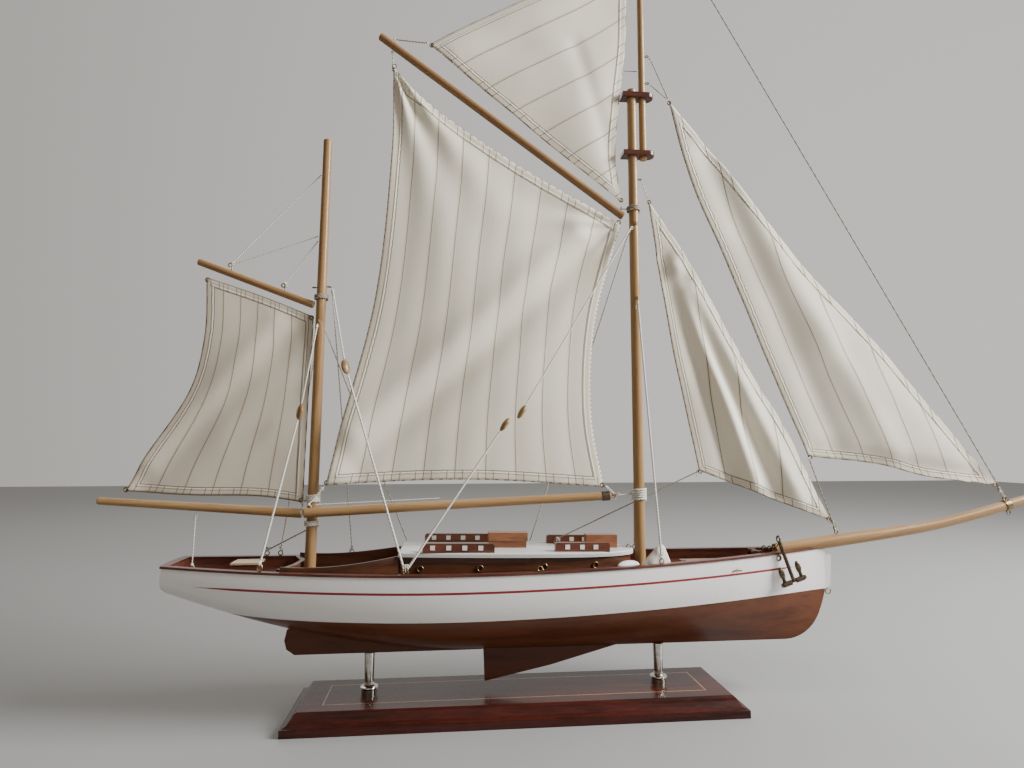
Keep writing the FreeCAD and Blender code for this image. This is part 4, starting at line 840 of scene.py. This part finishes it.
shell_wood = wood("block_wood", (0.30, 0.18, 0.07), (0.16, 0.09, 0.04), (60, 60, 200), 0.3, 0.3)
groove_wood = wood("groove_wood", (0.62, 0.50, 0.33), (0.42, 0.31, 0.19), (60, 60, 200), 0.5, 0.0)
fore_way = (fore_top - fore_block).normalized()
aft_way = (aft_top - aft_block).normalized()
for name, centre, way in (("fore_stay", fore_block, fore_way), ("aft_stay", aft_block, aft_way),
                          ("backstay_upper", back_top, upper_way),
                          ("backstay_lower", back_low, lower_way)):
    aim = way.to_track_quat("Z", "Y").to_matrix().to_4x4()
    for part, size, finish in (("shell", (4.2, 2.5, 7.2), shell_wood),
                               ("groove", (1.5, 2.75, 5.4), groove_wood)):
        bpy.ops.object.select_all(action="DESELECT")
        bpy.ops.mesh.primitive_uv_sphere_add(segments=32, ring_count=20, radius=1)
        bead = bpy.context.object
        bead.name = name + "_block_" + part
        bead.data.transform(Matrix.Translation(centre / 1000) @ aim
                            @ Matrix.Diagonal((*(side / 1000 for side in size), 1)))
        bpy.ops.object.shade_smooth()
        bead.data.materials.append(finish)
        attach(bead, "ship")
        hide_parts("rigging_blocks")

# ------------------------------------------------------------------ fastenings of the main sails
# The boom and gaff are lashed to the mast with close turns of cord. Short lines tie the sails'
# corners, and brass hooks join them to the boom.


def swung(points):
    """Points turned with the main boom about the upright line of its mast, in millimetres."""
    turn, mast = math.radians(MAIN_TURN), 118
    return [(mast + (x - mast) * math.cos(turn) - y * math.sin(turn),
             (x - mast) * math.sin(turn) + y * math.cos(turn), z) for x, y, z in points]


def lashing(name, x, low, high, count, reach, thick, node, body, finish=white_cord):
    """Close turns of cord round a spar that stands at x, from one height to another."""
    steps = 12 * count
    run = []
    for i in range(steps + 1):
        angle = 2 * math.pi * i / 12
        run.append((x + reach * math.cos(angle), reach * math.sin(angle),
                    low + (high - low) * i / steps))
    curve_piece(name, [run], thick, node, body, finish)


def hook(name, points, thick, node, body, finish):
    """A piece of bent brass wire through the points."""
    wire = curve_piece(name, [points], thick, node, body, finish)


def ring_points(centre, radius, tilt=0.0):
    """Points round a ring that faces across the ship, turned by tilt about its upright."""
    x, y, z = centre
    return [(x + radius * math.cos(a) * math.cos(tilt), y + radius * math.cos(a) * math.sin(tilt),
             z + radius * math.sin(a)) for a in (2 * math.pi * i / 12 for i in range(13))]


MAIN_BOOM = ("main_boom_rigging", "main_boom_set")
lashing("boom_lashing", 118, 184.6, 195.4, 5, 6.6, 2.0, *MAIN_BOOM)
hook("tack_hook", swung(ring_points((93.2, 0, 189.3), 2.0)
                        + [(90.4, 0, 189.2), (87.4, 0, 189)]), 1.2, *MAIN_BOOM, aged_brass)
taut("tack_line", *swung([(95.9, 0, 189.6), (109.8, 0, 190.4)]), 1.3, *MAIN_BOOM)
curve_piece("tack_loop", [swung([(95, 0, 190), (92, 0.6, 193), (88, 0.4, 197), (84.2, 0, 199),
                                 (87.4, -0.6, 195.2), (93, -0.4, 191)])], 1.1, *MAIN_BOOM,
            white_cord)
taut("clew_line", *swung([(-176, 0, 200), (-189.5, 0, 183.6)]), 1.3, *MAIN_BOOM)
taut("foot_jackline", *swung([(-182, 0, 184.2), (-72, 0, 188.6)]), 0.9, *MAIN_BOOM)
knots("boom_knots", swung([(-177.4, 0, 198.4), (-188.6, 0, 184.6), (97, 0, 190.6), (109, 0, 191)]),
      1.5, 0.9, *MAIN_BOOM)

MAIN_GAFF = ("main_gaff_rigging", "main_gaff_set")
lashing("gaff_lashing", 118, 469.4, 474.2, 3, 6.3, 1.9, *MAIN_GAFF, brown_cord)
taut("throat_line", *swung([(104.9, 0, 471.7), (111.2, 0, 471.7)]), 1.1, *MAIN_GAFF, brown_cord)
taut("peak_line", *swung([(-120.9, 0, 604.3), (-121.8, 0, 619.6)]), 1.2, *MAIN_GAFF)
taut("topsail_clew_line", *swung([(-87.5, 0, 630.2), (-121, 0, 631.4)]), 1.2, *MAIN_GAFF,
     brown_cord)
taut("topsail_luff_line", *swung([(111.2, 0, 617), (124.2, 0, 617.4)]), 0.9, *MAIN_GAFF,
     brown_cord)
taut("topsail_head_line", *swung([(117.8, 0, 757.6), (124.9, 0, 758.4)]), 0.9, *MAIN_GAFF,
     brown_cord)
knots("gaff_knots", swung([(-121.6, 0, 617.8), (-120.2, 0, 603.4), (-88.6, 0, 630.4),
                           (-119.6, 0, 631.2), (105.6, 0, 472.4)]), 1.4, 0.9, *MAIN_GAFF)
hook("peak_hook", swung(ring_points((-119.6, -0.4, 603.6), 2.2)), 0.8, *MAIN_GAFF, aged_brass)

# ------------------------------------------------------------------ fastenings of the mizzen sail
# The same lashings on the mizzen mast. Two brass eyes on top of the gaff carry its halyards, and
# a thin sheet hangs from the boom to the sternmost eye.

MIZZEN_BOOM = ("mizzen_boom_rigging", "mizzen_boom_set")
lashing("mizzen_boom_lashing", -187.4, 164.4, 168.8, 3, 6.2, 1.9, *MIZZEN_BOOM)
lashing("mizzen_tack_lashing", -187.1, 185.4, 192.4, 4, 6.2, 1.8, *MIZZEN_BOOM)
taut("mizzen_tack_line", (-196.4, 0, 181), (-196, 0, 184.8), 1.0, *MIZZEN_BOOM)
taut("mizzen_sheet", (-289, 0, 178), (-289, -4, 131.2), 1.1, *MIZZEN_BOOM)
knots("mizzen_boom_knots", [(-289, 0, 174.4), (-289, -4, 132.6), (-194.4, -2, 187.4)], 1.4, 0.9,
      *MIZZEN_BOOM)

MIZZEN_GAFF = ("mizzen_gaff_rigging", "mizzen_gaff_set")
lashing("mizzen_gaff_lashing", -184.4, 373.6, 377.8, 3, 5.9, 1.8, *MIZZEN_GAFF, brown_cord)
for name, (x, z) in (("mizzen_peak", (-268, 404.6)), ("mizzen_mid", (-219.4, 386.4))):
    hook(name + "_eye", [(x + 2.1, 0, z - 6.4), (x + 1.2, 0, z - 3.4)]
         + ring_points((x, 0, z), 1.7), 1.1, *MIZZEN_GAFF, aged_brass)
taut("mizzen_peak_halyard", (-266.6, 0, 406.2), (-187.7, 0, 494.7), 1.1, *MIZZEN_GAFF)
taut("mizzen_peak_guy", (-266.2, 0, 405.3), (-188.6, 0, 434.6), 1.1, *MIZZEN_GAFF)
taut("mizzen_mid_halyard", (-217.9, 0, 387.7), (-188.7, 0, 430.2), 1.1, *MIZZEN_GAFF)
knots("mizzen_gaff_knots", [(-265.6, -0.4, 406.4), (-217.4, -0.4, 388.4)], 1.4, 0.9, *MIZZEN_GAFF)

# ------------------------------------------------------------------ rings at the sails' corners
# A brass thimble is sewn into each corner of a sail, and its line or hook goes through it.

CORNERS = (
    ("mainsail", "main_boom_set", swung([(x, 0, z) for x, z in (
        (-173.6, 203.6), (82.0, 199.4), (-119.6, 600.6), (102.6, 457.8))])),
    ("topsail", "main_gaff_set", swung([(x, 0, z) for x, z in (
        (-83.8, 628.4), (105.4, 480.8), (116.2, 754.4))])),
    ("mizzen_sail", "mizzen_boom_set", [(-349.4, 0, 198.2), (-197.4, 0, 187.4), (-287.6, 0, 390),
                                        (-192.8, 0, 356.2)]),
    ("jib", "sail_jib", [(157.6, 0, 585.4), (488.8, 0, 197.2), (292.6, 0, 225.2)]),
    ("staysail", "sail_staysail", [(134.2, 0, 480), (309, 0, 164.6), (179.6, 0, 211.8)]),
)
thimble_brass = metal("thimble_brass", (0.30, 0.22, 0.12), (0.11, 0.085, 0.05), 0.34, 500.0, 0.08)
for node, body, places in CORNERS:
    for number, place in enumerate(places):
        hook(f"{node}_thimble_{number}", ring_points(place, 1.9), 1.2, node, body, thimble_brass)
hook("jib_tack_hook", ring_points((493.2, 0, 192.4), 1.7, 0.5)
     + [(491.4, 0, 195.6), (490.2, 0, 198.4)], 1.5, *MAIN_RIGGING, thimble_brass)
hook("staysail_tack_hook", [(310.2, 0, 164.4), (312.2, 0, 161.4), (313.6, 0, 158.6)]
     + ring_points((314.7, 0, 156.4), 2.0, 0.6), 1.5, *MAIN_RIGGING, thimble_brass)

# ------------------------------------------------------------------ canvas bundle
# A cream canvas cover bundled up beside the main mast. It rises to a peak on the side towards
# the bow, which is rounded and fuller.

low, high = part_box("canvas_bundle")
bundle_middle = Vector(((low[0] + high[0]) / 2, (low[1] + high[1]) / 2, low[2]))
bundle_half = Vector(((high[0] - low[0]) / 2, (high[1] - low[1]) / 2, high[2] - low[2]))
bpy.ops.object.select_all(action="DESELECT")
bpy.ops.mesh.primitive_uv_sphere_add(segments=72, ring_count=56, radius=1)
bundle = bpy.context.object
bundle.name = "canvas_bundle_cloth"
for point in bundle.data.vertices:
    x, y, z = point.co
    up = (z + 1) / 2
    turn = math.atan2(y, x)
    full = (1 - up**1.25) ** 0.62 if up < 1 else 0.0
    foot = min(1.0, up / 0.07) ** 0.5
    pleat = 1 + 0.05 * math.sin(turn * 9 + 2.0 * up) * (1 - up)
    reach = full * foot * pleat * 0.95
    lean = 0.34 * up ** 1.1
    drift = noise.noise(Vector((x * 1.7, y * 1.7, z * 2.1))) * 0.05
    point.co = bundle_middle + Vector((
        bundle_half.x * max(-1, min(1, math.cos(turn) * reach * (1 - 0.34 * up) + lean + drift)),
        bundle_half.y * max(-1, min(1, math.sin(turn) * reach + drift)),
        bundle_half.z * up * 0.99))
bpy.ops.object.shade_smooth()

bundle_canvas, tree = new_finish("bundle_canvas")
# The rumpling's hollows are painted darker than its crests: painted shade.
rumple = speckle(tree, own_place(tree), 90.0, 5.0, 0.8)
cover(tree, {"Base Color": blend(tree, rumple, (0.60, 0.55, 0.47), (0.84, 0.79, 0.70)),
             "Roughness": 0.85}, rumple, 0.8, 0.0012)
bundle.data.materials.append(bundle_canvas)
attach(bundle, "ship")
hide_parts("canvas_bundle")

# ------------------------------------------------------------------ fender
# A smooth white egg-shaped fender, stuffed, that lies on deck beside the cabin.

low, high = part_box("fender")
fender_middle = (Vector(low) + Vector(high)) / 2
bpy.ops.object.select_all(action="DESELECT")
bpy.ops.mesh.primitive_uv_sphere_add(segments=48, ring_count=32, radius=1)
fender = bpy.context.object
fender.name = "fender_cover"
fender.data.transform(Matrix.Translation(fender_middle)
                      @ Matrix.Rotation(math.radians(22), 4, "Z")
                      @ Matrix.Diagonal((0.0118, 0.0044, 0.0044, 1)))
bpy.ops.object.shade_smooth()
fender.data.materials.append(paint("fender_white", (0.88, 0.88, 0.89), (0.74, 0.74, 0.76), 0.5,
                                   120.0))
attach(fender, "ship")
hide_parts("fender")

# ------------------------------------------------------------------ sizes
# The overall box of the plain solids and of the finished ship, kept side by side.

size = {"cad": cad_box, "finished": [list(corner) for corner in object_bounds()]}
